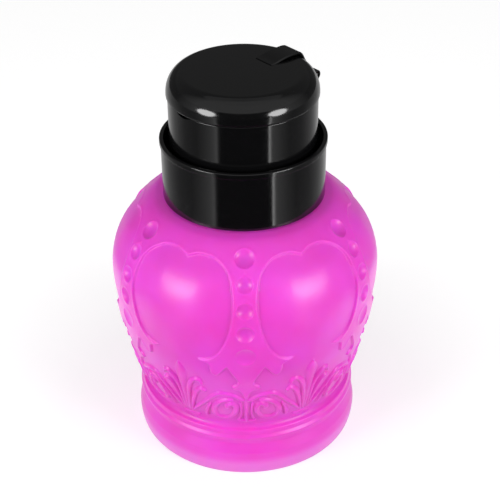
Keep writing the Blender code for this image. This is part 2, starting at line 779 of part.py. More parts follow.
def build_hinge_pin(collection, material):
    """Pin through the ears and the lid's knuckle."""
    length = (EAR_END - PIN_END_INSET) * 2
    return rod("hinge_pin", PIN_RADIUS, length, pin_place(), collection, material)


def build_dish_tray(collection, material):
    """Shallow dish on the head's floor, round the spout."""
    rim = SKIRT_BORE - SEAT_GAP
    hole = SPOUT_RADIUS + SEAT_GAP
    outline = [
        (rim, TRAY_TOP_Z + TRAY_RIM_RISE),
        (rim, TRAY_Z),
        (hole, TRAY_Z),
        (hole, TRAY_TOP_Z),
        (rim - TRAY_RIM_WIDTH, TRAY_TOP_Z),
        (rim - TRAY_RIM_WIDTH / 2, TRAY_TOP_Z + TRAY_RIM_RISE),
    ]
    return turned("dish_tray", outline, HEAD_STEPS, collection, material)


def build_nozzle_cap(collection, cutters, material):
    """Drilled cap over the spout."""
    low = TRAY_TOP_Z + SEAT_GAP
    outline = [
        (0, NOZZLE_TOP_Z),
        (NOZZLE_RADIUS - NOZZLE_EDGE, NOZZLE_TOP_Z),
        (NOZZLE_RADIUS, NOZZLE_TOP_Z - NOZZLE_EDGE),
        (NOZZLE_RADIUS, low),
        (NOZZLE_BORE, low),
        (NOZZLE_BORE, NOZZLE_CEILING_Z),
        (0, NOZZLE_CEILING_Z),
    ]
    cap = turned("nozzle_cap", outline, CORE_STEPS, collection, material, closed=False)
    length = (NOZZLE_TOP + CUT_OVERRUN) * 2
    for index in range(NOZZLE_HOLE_COUNT):
        turn = Matrix.Rotation(math.tau * index / NOZZLE_HOLE_COUNT, 4, 'Z')
        place = turn @ Matrix.Translation((NOZZLE_HOLE_CIRCLE, 0, NOZZLE_CEILING_Z))
        hole = as_cutter(rod(f"nozzle_hole_{index}", NOZZLE_HOLE_RADIUS, length, place, cutters))
        boolean(cap, hole, 'DIFFERENCE')
    return cap


def strap_outline():
    """Side view (out, up) of the strap that bridges from the lid's top to the knuckle."""
    half = STRAP_THICKNESS / 2
    span = PIVOT_OUT + KNUCKLE_RADIUS - half - STRAP_START
    rise = LID_TOP_Z + STRAP_LIFT - half - PIVOT_Z
    points = [(STRAP_START, LID_TOP_Z - half / 2)]
    for out_share, up_share in STRAP_SHARES:
        points.append((STRAP_START + span * out_share, PIVOT_Z + rise * up_share))
    middle = smooth_curve(points, CURVE_STEPS)
    return inset(middle, half) + inset(middle, -half)[::-1]


def build_lid(collection, cutters, pin_hole, material):
    """Flip lid: a shell with a spigot, a ring for its seal, the hinge's knuckle and the strap."""
    shoulder = (LID_RADIUS - LID_SHOULDER_WIDTH, LID_TOP_Z - LID_SHOULDER_HEIGHT)
    groove_z = LID_CEILING_Z - GROOVE_DEPTH
    ring_z = LID_CEILING_Z - SEAL_RING_DROP
    ring_out = SEAL_RING_BORE + SEAL_RING_WALL
    outline = [(0, LID_TOP_Z)]
    for out, up in arc((0, 0), 1, 90, 0, 2 * ARC_STEPS):
        outline.append((shoulder[0] + out * LID_SHOULDER_WIDTH, shoulder[1] + up * LID_SHOULDER_HEIGHT))
    outline += [
        (LID_RADIUS, LID_Z),
        (LID_BORE, LID_Z),
        (LID_BORE, groove_z),
        (SPIGOT_RADIUS, groove_z),
        (SPIGOT_RADIUS, SPIGOT_Z),
        (SPIGOT_BORE, SPIGOT_Z),
        (SPIGOT_BORE, LID_CEILING_Z),
        (ring_out, LID_CEILING_Z),
        (ring_out, ring_z),
        (SEAL_RING_BORE, ring_z),
        (SEAL_RING_BORE, LID_CEILING_Z),
        (0, LID_CEILING_Z),
    ]
    lid = turned("lid", outline, BODY_STEPS, collection, material, closed=False)
    inner = PIVOT_OUT - KNUCKLE_RADIUS - SLIDE_GAP
    near = EAR_START - NOTCH_SIDE_GAP
    far = EAR_END + NOTCH_SIDE_GAP
    low = LID_Z - CUT_OVERRUN
    high = PIVOT_Z + KNUCKLE_RADIUS + SLIDE_GAP
    for side, edges in (("left", (-far, -near)), ("right", (near, far))):
        notch = block(f"ear_notch_{side}", (inner, edges[0], low),
                      (LID_RADIUS + CUT_OVERRUN, edges[1], high), cutters)
        boolean(lid, as_cutter(notch), 'DIFFERENCE')
    knuckle = rod("knuckle", KNUCKLE_RADIUS, KNUCKLE_HALF_WIDTH * 2, pin_place(), cutters)
    boolean(lid, as_cutter(knuckle), 'UNION')
    strap = plate("strap", strap_outline(), STRAP_HALF_WIDTH, 0, cutters)
    boolean(lid, as_cutter(strap), 'UNION')
    boolean(lid, pin_hole, 'DIFFERENCE')
    return lid


def build_lid_seal(collection, material):
    """Soft plug in the lid's ring that shuts the nozzle."""
    top = LID_CEILING_Z - SEAT_GAP
    outline = [(0, top), (LID_SEAL_RADIUS, top), (LID_SEAL_RADIUS, LID_SEAL_Z), (0, LID_SEAL_Z)]
    return turned("lid_seal", outline, CORE_STEPS, collection, material, closed=False)


def build_lid_pivot(collection):
    """Empty on the hinge pin's axis, which carries the lid."""
    pivot = bpy.data.objects.new("lid_pivot", None)
    pivot.empty_display_size = KNUCKLE_RADIUS
    collection.objects.link(pivot)
    pivot.matrix_world = hinge_frame(PIVOT_OUT, 0, PIVOT_Z)
    return pivot


def carry(carrier, *pieces):
    """Parent pieces to their carrier where they stand."""
    bpy.context.view_layer.update()
    for piece in pieces:
        place = piece.matrix_world.copy()
        piece.parent = carrier
        piece.matrix_parent_inverse = carrier.matrix_world.inverted()
        piece.matrix_world = place


def main():
    """Build every piece and put each under what carries it."""
    clear_scene()
    parts = new_collection("nail_polish_remover_pump")
    cutters = new_collection("cutters")
    pink = plastic("pink_bottle", (0.82, 0.08, 0.6), 0.35)
    black = plastic("black_gloss", (0.012, 0.012, 0.013), 0.18)
    clear = plastic("natural_plastic", (0.8, 0.8, 0.78), 0.4)
    soft = plastic("soft_seal", (0.75, 0.75, 0.72), 0.6)
    bright = steel("stainless_steel")

    bottle = build_bottle(parts, cutters, pink)
    collar = build_collar(parts, cutters, black)
    gasket = build_neck_gasket(parts, soft)
    housing = build_pump_housing(parts, clear)
    dip_tube = build_dip_tube(parts, clear)
    inlet_ball = build_inlet_ball(parts, bright)
    cage = build_ball_cage(parts, clear)
    spring = build_return_spring(parts, bright)
    chaplet = build_chaplet(parts, clear)
    stem_seal = build_stem_seal(parts, soft)
    stem = build_stem(parts, clear)
    piston = build_piston(parts, soft)
    retainer = build_piston_retainer(parts, clear)
    outlet_ball = build_outlet_ball(parts, bright)
    pin_hole = build_pin_hole(cutters)
    actuator = build_actuator(parts, cutters, pin_hole, black)
    hinge_pin = build_hinge_pin(parts, bright)
    tray = build_dish_tray(parts, black)
    nozzle = build_nozzle_cap(parts, cutters, black)
    lid = build_lid(parts, cutters, pin_hole, black)
    lid_seal = build_lid_seal(parts, soft)
    pivot = build_lid_pivot(parts)

    carry(pivot, lid, lid_seal)
    carry(actuator, pivot, hinge_pin, tray, nozzle, stem, outlet_ball)
    carry(piston, actuator, retainer)
    carry(housing, piston, gasket, dip_tube, inlet_ball, cage, spring, chaplet, stem_seal, collar)
    carry(bottle, housing)


main()
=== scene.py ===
"""Looks of a push-down dispenser pump on a crown-ornament bottle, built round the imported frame.

Sizes are millimetres, and become metres when a mesh is made. A half section is a list of corners
(radius, height, rounding). Angles round the bottle are degrees from its front, -Y, towards +X.
"""
import logging
import math
from collections.abc import Mapping, Sequence
from dataclasses import dataclass
from enum import Enum
from functools import cache
from typing import Any

import bpy
import numpy as np
from mathutils import Matrix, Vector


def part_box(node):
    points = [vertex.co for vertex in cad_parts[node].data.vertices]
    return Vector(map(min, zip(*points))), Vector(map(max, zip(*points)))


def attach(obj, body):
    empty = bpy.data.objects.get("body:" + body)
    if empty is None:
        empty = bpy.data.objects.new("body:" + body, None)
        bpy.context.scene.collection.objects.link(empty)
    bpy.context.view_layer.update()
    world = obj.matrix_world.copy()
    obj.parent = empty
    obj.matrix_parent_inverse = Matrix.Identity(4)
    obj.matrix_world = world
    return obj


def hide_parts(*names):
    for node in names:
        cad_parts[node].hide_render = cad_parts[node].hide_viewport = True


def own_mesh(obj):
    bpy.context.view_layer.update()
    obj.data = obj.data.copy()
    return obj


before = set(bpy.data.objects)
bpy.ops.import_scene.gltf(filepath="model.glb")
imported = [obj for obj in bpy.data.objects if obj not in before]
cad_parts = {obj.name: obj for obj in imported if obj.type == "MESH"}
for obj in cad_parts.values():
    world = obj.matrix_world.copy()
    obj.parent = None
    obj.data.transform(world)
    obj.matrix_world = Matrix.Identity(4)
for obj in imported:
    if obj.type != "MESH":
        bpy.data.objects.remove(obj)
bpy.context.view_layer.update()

MM = 0.001
SHARP_ANGLE = math.radians(38)
LARGE_FACE_WEIGHT = 80
TURN_STEPS = 120
CORE_STEPS = 48
WELD_DIGITS = 3
TINY = 1e-6

# How far a rod's direction may rise, of 1, before its sides are set square to X and not to Z.
UPRIGHT = 0.9

# Share of an edge that one of its roundings may take, and how finely an arc is stepped.
EDGE_SHARE = 0.49
LEAST_ARC_STEPS = 4
ARC_STEPS_PER_MM = 4

# Roundings of moulded edges and inner corners.
HAIR = 0.1
CRISP = 0.15
EDGE = 0.2
EASY = 0.25
SOFT = 0.3
FILLET = 0.4
ROUND = 0.5

# The middle range that a noise keeps to for the most part.
NOISE_LOW, NOISE_HIGH = 0.3, 0.7

# Sockets of a colour mix by number, because their names repeat for each type of value.
MIX_SHARE, MIX_FIRST, MIX_SECOND, MIX_RESULT = 0, 6, 7, 2

WHITE = (1.0, 1.0, 1.0, 1.0)

Corner = tuple[float, float, float]
Point = tuple[float, float]
log = logging.getLogger("pump")


class Operation(Enum):
    """How one solid acts on another."""

    JOIN = "UNION"
    CUT = "DIFFERENCE"


class Slot(Enum):
    """Material slots of the record."""

    BOTTLE = "bottle_pink"
    HEAD = "head_black"
    PUMP = "pump_natural"
    SEAL = "seal_soft"
    STEEL = "bright_steel"


# Outlines

def rounded(corners: Sequence[Corner], closed: bool = True) -> list[Point]:
    """Replace each corner that has a rounding by an arc.

    Args:
        corners: Radius, height and rounding of each corner.
        closed: Whether the last corner joins the first; the ends of an open outline stay sharp.

    Returns:
        The points of the rounded outline.
    """
    points: list[Point] = []
    count = len(corners)
    for index, (radius, height, rounding) in enumerate(corners):
        here = np.array((radius, height))
        if rounding <= 0 or (not closed and index in (0, count - 1)):
            points.append((radius, height))
            continue
        before = np.array(corners[index - 1][:2]) - here
        after = np.array(corners[(index + 1) % count][:2]) - here
        room = min(np.linalg.norm(before), np.linalg.norm(after)) * EDGE_SHARE
        before /= np.linalg.norm(before)
        after /= np.linalg.norm(after)
        half = math.acos(float(np.clip(before @ after, -1, 1))) / 2
        reach = min(rounding / math.tan(half), room)
        start, end = here + before * reach, here + after * reach
        steps = LEAST_ARC_STEPS + int(rounding * ARC_STEPS_PER_MM)
        for step in range(steps + 1):
            share = step / steps
            # The sine as the corner's weight bends the curve into a true arc.
            pull = 2 * math.sin(half) * share * (1 - share)
            total = (1 - share) ** 2 + pull + share ** 2
            place = ((1 - share) ** 2 * start + pull * here + share ** 2 * end) / total
            points.append((float(place[0]), float(place[1])))
    return points


def smooth_curve(points: Sequence[Sequence[float]], steps: int) -> np.ndarray:
    """A smooth curve through points of any dimension.

    Args:
        points: The points that the curve passes.
        steps: Steps from each point to the next.

    Returns:
        An array with one point of the curve in each row.
    """
    knots = np.array(points, float)
    path = []
    for index in range(len(knots) - 1):
        here, there = knots[index], knots[index + 1]
        before = knots[index - 1] if index else here
        after = knots[index + 2] if index + 2 < len(knots) else there
        for step in range(steps):
            share = step / steps
            leave = (there - before) * share * (1 - share) ** 2 / 2
            arrive = (after - here) * share ** 2 * (share - 1) / 2
            path.append(here + (there - here) * share ** 2 * (3 - 2 * share) + leave + arrive)
    path.append(knots[-1])
    return np.array(path)


def lengths_along(path: np.ndarray) -> np.ndarray:
    """Distance of each point of a path from its start, measured along it."""
    return np.concatenate([[0], np.cumsum(np.linalg.norm(np.diff(path, axis=0), axis=1))])


def spaced(path: np.ndarray, spacing: float) -> np.ndarray:
    """Points at even spacing along a path.

    Args:
        path: The path's points.
        spacing: Distance that is wanted between points, which is evened out to fit.

    Returns:
        The points, from the path's first to its last.
    """
    along = lengths_along(path)
    places = np.linspace(0, along[-1], max(2, round(along[-1] / spacing) + 1))
    return np.stack([np.interp(places, along, path[:, axis]) for axis in range(path.shape[1])], 1)


def placed(corners: Sequence[Corner], radius: float, height: float) -> list[Corner]:
    """Corners given as (out, up, rounding) from a point, at that point's radius and height."""
    return [(radius + out, height + up, rounding) for out, up, rounding in corners]


def directions(path: np.ndarray) -> np.ndarray:
    """Unit direction of an open path at each of its points."""
    along = np.gradient(path, axis=0)
    return along / np.linalg.norm(along, axis=1, keepdims=True)


def inset(path: np.ndarray, distance: float) -> np.ndarray:
    """Move each point of an open path to its left by a distance, square to the path."""
    along = directions(path)
    return path + distance * np.stack([-along[:, 1], along[:, 0]], axis=1)


def shrunk(loop: np.ndarray, distance: float) -> np.ndarray:
    """Move each point of a closed loop to its left, square to the loop.

    Args:
        loop: The loop's points.
        distance: How far they move.

    Returns:
        The moved points.
    """
    along = np.roll(loop, -1, axis=0) - np.roll(loop, 1, axis=0)
    along /= np.linalg.norm(along, axis=1, keepdims=True)
    return loop + distance * np.stack([-along[:, 1], along[:, 0]], axis=1)


# Meshes

@dataclass
class Form:
    """Points in millimetres and the faces between them."""

    points: np.ndarray
    faces: list[tuple[int, ...]]

    def facing_out(self) -> "Form":
        """Turn the faces of a closed form out, by the sign of its volume.

        Returns:
            This form where its faces face out, or else one with every face turned over.
        """
        fans = [(face[0], here, there) for face in self.faces for here, there in zip(face[1:], face[2:])]
        first, second, third = self.points[np.array(fans).T]
        volume = np.einsum("ij,ij->", first, np.cross(second, third))
        return self if volume > 0 else Form(self.points, [face[::-1] for face in self.faces])


def ring(radius: float | np.ndarray, height: float, count: int) -> np.ndarray:
    """Points round Z, from the front towards +X.

    Args:
        radius: The ring's radius, or the radius at each point; a ring of no radius is one point.
        height: Its height.
        count: How many points go round.

    Returns:
        The points, one in each row.
    """
    if np.ndim(radius) == 0 and radius < TINY:
        return np.array([[0, 0, height]], float)
    turn = np.arange(count) * (math.tau / count)
    return np.stack([radius * np.sin(turn), -radius * np.cos(turn), np.full(count, height)], axis=1)


def bridge(low: np.ndarray, high: np.ndarray) -> list[tuple[int, ...]]:
    """Faces between two rings of point numbers, where either may be a single point.

    Args:
        low: Point numbers of the first ring.
        high: Point numbers of the second ring.

    Returns:
        Quads between equal rings, or a fan of triangles to a point.
    """
    if len(low) < len(high):
        return [face[::-1] for face in bridge(high, low)]
    after = np.roll(low, -1).tolist()
    if len(high) == 1:
        return [(a, b, int(high[0])) for a, b in zip(low.tolist(), after)]
    return list(zip(low.tolist(), after, np.roll(high, -1).tolist(), high.tolist()))


def woven(rings: Sequence[np.ndarray], closed: bool = False) -> Form:
    """Stretch faces over rings of points, facing out where the rings rise.

    Args:
        rings: The rings, in order.
        closed: Whether the last ring joins the first.

    Returns:
        The form, which is open at both ends unless it is closed.
    """
    ends = np.cumsum([len(loop) for loop in rings])
    numbers = [np.arange(end - len(loop), end) for end, loop in zip(ends, rings)]
    faces: list[tuple[int, ...]] = []
    for low, high in zip(numbers, numbers[1:] + ([numbers[0]] if closed else [])):
        if len(low) > 1 or len(high) > 1:
            faces += bridge(low, high)
    return Form(np.concatenate(rings), faces)


def skin(rings: Sequence[np.ndarray], closed: bool = False, capped: bool = False) -> Form:
    """Make a closed form of rings, turned out.

    Args:
        rings: The rings, in order.
        closed: Whether the last ring joins the first.
        capped: Whether a face closes each end.

    Returns:
        The form.
    """
    form = woven(rings, closed)
    if capped:
        first, last = range(len(rings[0])), range(len(form.points) - len(rings[-1]), len(form.points))
        form.faces += [tuple(first)[::-1], tuple(last)]
    return form.facing_out()


def welded(forms: Sequence[Form]) -> Form:
    """Join forms into one, with points that coincide made one.

    Args:
        forms: The forms.

    Returns:
        The joined form.
    """
    points = np.concatenate([form.points for form in forms])
    rounded_off = np.round(points, WELD_DIGITS)
    _, first, number = np.unique(rounded_off, axis=0, return_index=True, return_inverse=True)
    starts = np.cumsum([0] + [len(form.points) for form in forms])
    number = number.reshape(-1)
    faces = [tuple(number[start + np.array(face)].tolist())
             for start, form in zip(starts, forms) for face in form.faces]
    return Form(points[first], faces)


def turned(outline: Sequence[Point], steps: int = TURN_STEPS, closed: bool = True) -> Form:
    """Turn a half section about Z; an open one starts and ends on the axis."""
    return skin([ring(radius, height, steps) for radius, height in outline], closed=closed)


def rod(radius: float, start: np.ndarray, end: np.ndarray, edge: float, steps: int = CORE_STEPS) -> Form:
    """A round rod between two points, with a chamfer at each end.

    Args:
        radius: The rod's radius.
        start: Centre of its first end.
        end: Centre of its last end.
        edge: Size of the chamfer.
        steps: Sides of the rod.

    Returns:
        The closed form.
    """
    along = (end - start) / np.linalg.norm(end - start)
    side = np.cross(along, (0, 0, 1.0) if abs(along[2]) < UPRIGHT else (1.0, 0, 0))
    side /= np.linalg.norm(side)
    other = np.cross(along, side)
    turn = np.arange(steps)[:, None] * (math.tau / steps)
    circle = np.cos(turn) * side + np.sin(turn) * other
    loops = [start + circle * (radius - edge), start + along * edge + circle * radius,
             end - along * edge + circle * radius, end + circle * (radius - edge)]
    return skin(loops, capped=True)


def piece_of(name: str, form: Form) -> bpy.types.Object:
    """Make an object of a form.

    Args:
        name: Name of the object.
        form: Its form, in millimetres.

    Returns:
        The object, linked to the scene.
    """
    mesh = bpy.data.meshes.new(name)
    mesh.from_pydata((form.points * MM).tolist(), [], form.faces)
    mesh.validate()
    made = bpy.data.objects.new(name, mesh)
    bpy.context.scene.collection.objects.link(made)
    return made


def worked(piece: bpy.types.Object, steps: Sequence[tuple[Form, Operation]]) -> bpy.types.Object:
    """Join solids to a piece and cut solids out of it, in order.

    Args:
        piece: The piece to work on.
        steps: The solids, each with how it acts.

    Returns:
        The piece, with the result as its mesh.
    """
    helpers = []
    for index, (form, operation) in enumerate(steps):
        helper = piece_of(f"{piece.name}_step_{index}", form)
        modifier = piece.modifiers.new(helper.name, "BOOLEAN")
        modifier.object = helper
        modifier.operation = operation.value
        modifier.solver = "EXACT"
        helpers.append(helper)
    bpy.context.view_layer.update()
    result = piece.evaluated_get(bpy.context.evaluated_depsgraph_get())
    mesh = bpy.data.meshes.new_from_object(result)
    piece.modifiers.clear()
    piece.data = mesh
    for helper in helpers:
        bpy.data.objects.remove(helper)
    return piece


def shaded(piece: bpy.types.Object, led: bool) -> None:
    """Shade a piece smooth, and sharp where its faces meet at more than an angle.

    Args:
        piece: The piece.
        led: Whether its large faces lead its normals.
    """
    piece.data.shade_smooth()
    piece.data.set_sharp_from_angle(angle=SHARP_ANGLE)
    if led:
        normals = piece.modifiers.new("face_led_normals", "WEIGHTED_NORMAL")
        normals.keep_sharp = True
        normals.weight = LARGE_FACE_WEIGHT


# Finishes

def linear(code: str) -> tuple[float, float, float, float]:
    """Turn an sRGB hex colour into a linear one.

    Args:
        code: The colour, such as #E33CC0.

    Returns:
        Linear red, green, blue and alpha.
    """
    shares = [int(code[at:at + 2], 16) / 255 for at in (1, 3, 5)]
    levels = [s / 12.92 if s <= 0.04045 else ((s + 0.055) / 1.055) ** 2.4 for s in shares]
    return (levels[0], levels[1], levels[2], 1.0)


def add_node(tree: bpy.types.NodeTree, kind: str, inputs: Mapping[Any, Any] | None = None,
             **settings: Any) -> bpy.types.Node:
    """Add a node with its settings, values and links.

    Args:
        tree: The node tree.
        kind: The node's type.
        inputs: By input name or number, a value to set or a socket to link from.
        **settings: Attributes to set on the node.

    Returns:
        The node.
    """
    made = tree.nodes.new(kind)
    for name, value in settings.items():
        setattr(made, name, value)
    for name, value in (inputs or {}).items():
        if isinstance(value, bpy.types.NodeSocket):
            tree.links.new(value, made.inputs[name])
        else:
            made.inputs[name].default_value = value
    return made


def empty_material(name: str) -> bpy.types.Material:
    """Make a material with an empty node tree.

    Args:
        name: Its name.

    Returns:
        The material.
    """
    made = bpy.data.materials.new(name)
    made.use_nodes = True
    made.node_tree.nodes.clear()
    return made


def grain(tree: bpy.types.NodeTree, size: float, stretch: float = 1.0,
          detail: float = 2.0) -> bpy.types.NodeSocket:
    """Noise of a real size on the object.

    Args:
        tree: The node tree.
        size: Size of the grain in millimetres.
        stretch: How many times longer it is along Z.
        detail: Finer layers in the noise.

    Returns:
        The noise's value socket.
    """
    place = add_node(tree, "ShaderNodeTexCoord").outputs["Object"]
    scaled = add_node(tree, "ShaderNodeMapping", {"Vector": place, "Scale": (1, 1, 1 / stretch)})
    noise = add_node(tree, "ShaderNodeTexNoise", {
        "Vector": scaled.outputs["Vector"], "Scale": 1 / (size * MM), "Detail": detail})
    return noise.outputs["Fac"]


def remapped(tree: bpy.types.NodeTree, value: bpy.types.NodeSocket, low: float,
             high: float) -> bpy.types.NodeSocket:
    """Map a noise value from its usual middle range to a range."""
    made = add_node(tree, "ShaderNodeMapRange", {
        "Value": value, "From Min": NOISE_LOW, "From Max": NOISE_HIGH, "To Min": low, "To Max": high})
    return made.outputs["Result"]


def clouded(tree: bpy.types.NodeTree, value: bpy.types.NodeSocket, colour: str,
            deeper: str) -> bpy.types.NodeSocket:
    """A colour that goes over to a deeper one by a noise value."""
    made = add_node(tree, "ShaderNodeMix", {
        MIX_SHARE: remapped(tree, value, 0, 1), MIX_FIRST: linear(colour), MIX_SECOND: linear(deeper)},
        data_type="RGBA")
    return made.outputs[MIX_RESULT]


def bumped(tree: bpy.types.NodeTree, value: bpy.types.NodeSocket, depth: float,
           under: bpy.types.NodeSocket | None = None) -> bpy.types.NodeSocket:
    """A normal from a noise value.

    Args:
        tree: The node tree.
        value: The noise.
        depth: Depth of the bumps in millimetres.
        under: Normal of a coarser bump below it.

    Returns:
        The normal socket.
    """
    inputs: dict[str, Any] = {"Height": value, "Distance": depth * MM, "Strength": 1.0}
    if under:
        inputs["Normal"] = under
    return add_node(tree, "ShaderNodeBump", inputs).outputs["Normal"]


@dataclass(frozen=True)
class BlownPolyethylene:
    """Pigmented high-density polyethylene, extrusion blow moulded.

    The mould leaves a satin skin, the parison's drawing leaves faint lines that run down it, and the
    thin waxy wall lets light in, which lightens its edges and warms its shade. The heel, low on the
    white table, has a lighter colour painted on: a painted highlight that stands in for the table's
    light on it. A waxy bloom pales it where it turns away.
    """

    name: str = "blown_polyethylene"
    slot: Slot = Slot.BOTTLE
    colour: str = "#EE48D8"
    deeper: str = "#EA40C8"
    roughness: tuple[float, float] = (0.32, 0.4)
    ior: float = 1.53
    cloud_size: float = 14.0
    line_size: float = 0.9
    line_stretch: float = 60.0
    line_depth: float = 0.006
    skin_size: float = 0.35
    skin_depth: float = 0.0025
    scatter_weight: float = 0.6
    scatter_scale: float = 1.6
    scatter_radius: tuple[float, float, float] = (1.0, 0.3, 0.6)
    bloom: float = 0.12
    bloom_roughness: float = 0.4
    # Painted highlight: a lighter colour painted over the heel in place of the white table's light on it.
    painted_heel_light: str = "#F072DF"
    painted_light_top: float = 5.9
    painted_light_foot: float = 3.6

    def inputs(self, tree: bpy.types.NodeTree) -> dict[str, Any]:
        """Build what feeds the surface.

        Args:
            tree: The material's node tree.

        Returns:
            By input name, a value or a socket.
        """
        colour = clouded(tree, grain(tree, self.cloud_size), self.colour, self.deeper)
        place = add_node(tree, "ShaderNodeTexCoord").outputs["Object"]
        # Painted highlight: over the heel's lowest millimetres the colour goes over to the lighter painted
        # one.
        painted_light_share = add_node(tree, "ShaderNodeMapRange", {
            "Value": add_node(tree, "ShaderNodeSeparateXYZ", {"Vector": place}).outputs["Z"],
            "From Min": self.painted_light_top * MM, "From Max": self.painted_light_foot * MM})
        colour_with_painted_light = add_node(tree, "ShaderNodeMix", {
            MIX_SHARE: painted_light_share.outputs["Result"], MIX_FIRST: colour, MIX_SECOND: linear(self.painted_heel_light)},
            data_type="RGBA")
        lines = grain(tree, self.line_size, self.line_stretch)
        fine = grain(tree, self.skin_size)
        return {
            "Base Color": colour_with_painted_light.outputs[MIX_RESULT],
            "Sheen Weight": self.bloom,
            "Sheen Roughness": self.bloom_roughness,
            "Roughness": remapped(tree, fine, *self.roughness),
            "Normal": bumped(tree, fine, self.skin_depth, bumped(tree, lines, self.line_depth)),
            "IOR": self.ior,
            "Subsurface Weight": self.scatter_weight,
            "Subsurface Scale": self.scatter_scale * MM,
            "Subsurface Radius": self.scatter_radius,
        }


@dataclass(frozen=True)
class GlossPolystyrene:
    """Black high-impact polystyrene, injection moulded against polished steel.

    It reflects like lacquer, and its long reflections waver a little where the wall has sunk.
    """

    name: str = "gloss_polystyrene"
    slot: Slot = Slot.HEAD
    colour: str = "#0B0B0C"
    roughness: tuple[float, float] = (0.09, 0.14)
    ior: float = 1.54
    sink_size: float = 7.0
    sink_depth: float = 0.012
    haze_size: float = 1.2

    def inputs(self, tree: bpy.types.NodeTree) -> dict[str, Any]:
        """Build what feeds the surface.

        Args:
            tree: The material's node tree.

        Returns:
            By input name, a value or a socket.
        """
        return {
            "Base Color": linear(self.colour),
            "Roughness": remapped(tree, grain(tree, self.haze_size), *self.roughness),
            "Normal": bumped(tree, grain(tree, self.sink_size), self.sink_depth),
            "IOR": self.ior,
        }


@dataclass(frozen=True)
class NaturalPolypropylene:
    """Unpigmented polypropylene, injection moulded: milky, satin, and cloudy where it is thick."""

    name: str = "natural_polypropylene"
    slot: Slot = Slot.PUMP
    colour: str = "#E4E6E2"
    deeper: str = "#D5D9D4"
    roughness: tuple[float, float] = (0.32, 0.42)
    ior: float = 1.49
    cloud_size: float = 2.5
    skin_size: float = 0.3
    skin_depth: float = 0.002
    scatter_weight: float = 0.4
    scatter_scale: float = 1.0

    def inputs(self, tree: bpy.types.NodeTree) -> dict[str, Any]:
        """Build what feeds the surface.

        Args:
            tree: The material's node tree.

        Returns:
            By input name, a value or a socket.
        """
        fine = grain(tree, self.skin_size)
        return {
            "Base Color": clouded(tree, grain(tree, self.cloud_size), self.colour, self.deeper),
            "Roughness": remapped(tree, fine, *self.roughness),
            "Normal": bumped(tree, fine, self.skin_depth),
            "IOR": self.ior,
            "Subsurface Weight": self.scatter_weight,
            "Subsurface Scale": self.scatter_scale * MM,
        }


@dataclass(frozen=True)
class FoamedPolyethylene:
    """Soft foamed polyethylene, die cut or moulded: matt, with a fine closed-cell grain."""

    name: str = "foamed_polyethylene"
    slot: Slot = Slot.SEAL
    colour: str = "#DAD9D2"
    deeper: str = "#C9C8C0"
    roughness: tuple[float, float] = (0.55, 0.7)
    ior: float = 1.5
    cell_size: float = 0.4
    cell_depth: float = 0.02
    cell_detail: float = 3.0

    def inputs(self, tree: bpy.types.NodeTree) -> dict[str, Any]:
        """Build what feeds the surface.

        Args:
            tree: The material's node tree.

        Returns:
            By input name, a value or a socket.
        """
        cells = grain(tree, self.cell_size, detail=self.cell_detail)
        return {
            "Base Color": clouded(tree, cells, self.colour, self.deeper),
            "Roughness": remapped(tree, cells, *self.roughness),
            "Normal": bumped(tree, cells, self.cell_depth),
            "IOR": self.ior,
        }


@dataclass(frozen=True)
class DrawnStainless:
    """Stainless steel, drawn or ground bright, with fine marks left by the die."""

    name: str = "drawn_stainless"
    slot: Slot = Slot.STEEL
    colour: str = "#C6C8CA"
    roughness: tuple[float, float] = (0.16, 0.3)
    mark_size: float = 0.12
    mark_depth: float = 0.001
    mark_detail: float = 3.0

    def inputs(self, tree: bpy.types.NodeTree) -> dict[str, Any]:
        """Build what feeds the surface.

        Args:
            tree: The material's node tree.

        Returns:
            By input name, a value or a socket.
        """
        marks = grain(tree, self.mark_size, detail=self.mark_detail)
        return {
            "Base Color": linear(self.colour),
            "Metallic": 1.0,
            "Roughness": remapped(tree, marks, *self.roughness),
            "Normal": bumped(tree, marks, self.mark_depth),
        }


Finish = BlownPolyethylene | GlossPolystyrene | NaturalPolypropylene | FoamedPolyethylene | DrawnStainless


@cache
def material_for(finish: Finish) -> bpy.types.Material:
    """Make the material of a finish, once.

    Args:
        finish: The finish.

    Returns:
        Its material.
    """
    made = empty_material(finish.name)
    shader = add_node(made.node_tree, "ShaderNodeBsdfPrincipled", finish.inputs(made.node_tree))
    add_node(made.node_tree, "ShaderNodeOutputMaterial", {"Surface": shader.outputs["BSDF"]})
    return made


def dressed(piece: bpy.types.Object, node: str, body: str, finish: Finish, led: bool = True) -> None:
    """Give a piece its finish, and put it in its node's place on a body.

    Args:
        piece: The piece.
        node: The node that it stands for.
        body: The body that it rides on.
        finish: Its finish.
        led: Whether large faces lead its normals.
    """
    shaded(piece, led)
    piece.data.materials.clear()
    piece.data.materials.append(material_for(finish))
    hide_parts(node)
    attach(piece, body)
    log.info("%s: %d faces, stands for %s on %s", piece.name, len(piece.data.polygons), node, body)


def reach_of(node: str) -> tuple[float, float, float]:
    """Radius, lowest and highest level of a round node, in millimetres, from the frame."""
    low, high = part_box(node)
    return high.x / MM, low.z / MM, high.z / MM


def turn_piece(name: str, node: str, body: str, finish: Finish, corners: Sequence[Corner]) -> None:
    """Turn the closed section of a small piece, and dress it."""
    dressed(piece_of(name, turned(rounded(corners), CORE_STEPS)), node, body, finish)


def turn_ring(name: str, node: str, body: str, finish: Finish, bore: float,
              edges: tuple[float, float, float, float]) -> None:
    """Turn a plain ring as wide and high as its node, and dress it.

    Args:
        name: Name of the piece.
        node: The node that it stands for.
        body: The body that it rides on.
        finish: Its finish.
        bore: Radius of its hole.
        edges: Roundings at its outer top, outer foot, inner foot and inner top.
    """
    radius, low, top = reach_of(node)
    corners = ((radius, top), (radius, low), (bore, low), (bore, top))
    turn_piece(name, node, body, finish, [(*corner, edge) for corner, edge in zip(corners, edges)])


# Ornament of the bottle

@dataclass(frozen=True)
class Rib:
    """A raised stroke of the ornament: (degrees, height, half width) along it, and its rise."""

    line: tuple[tuple[float, float, float], ...]
    rise: float = 0.62
    crown: float = 0.8
    steps: int = 8


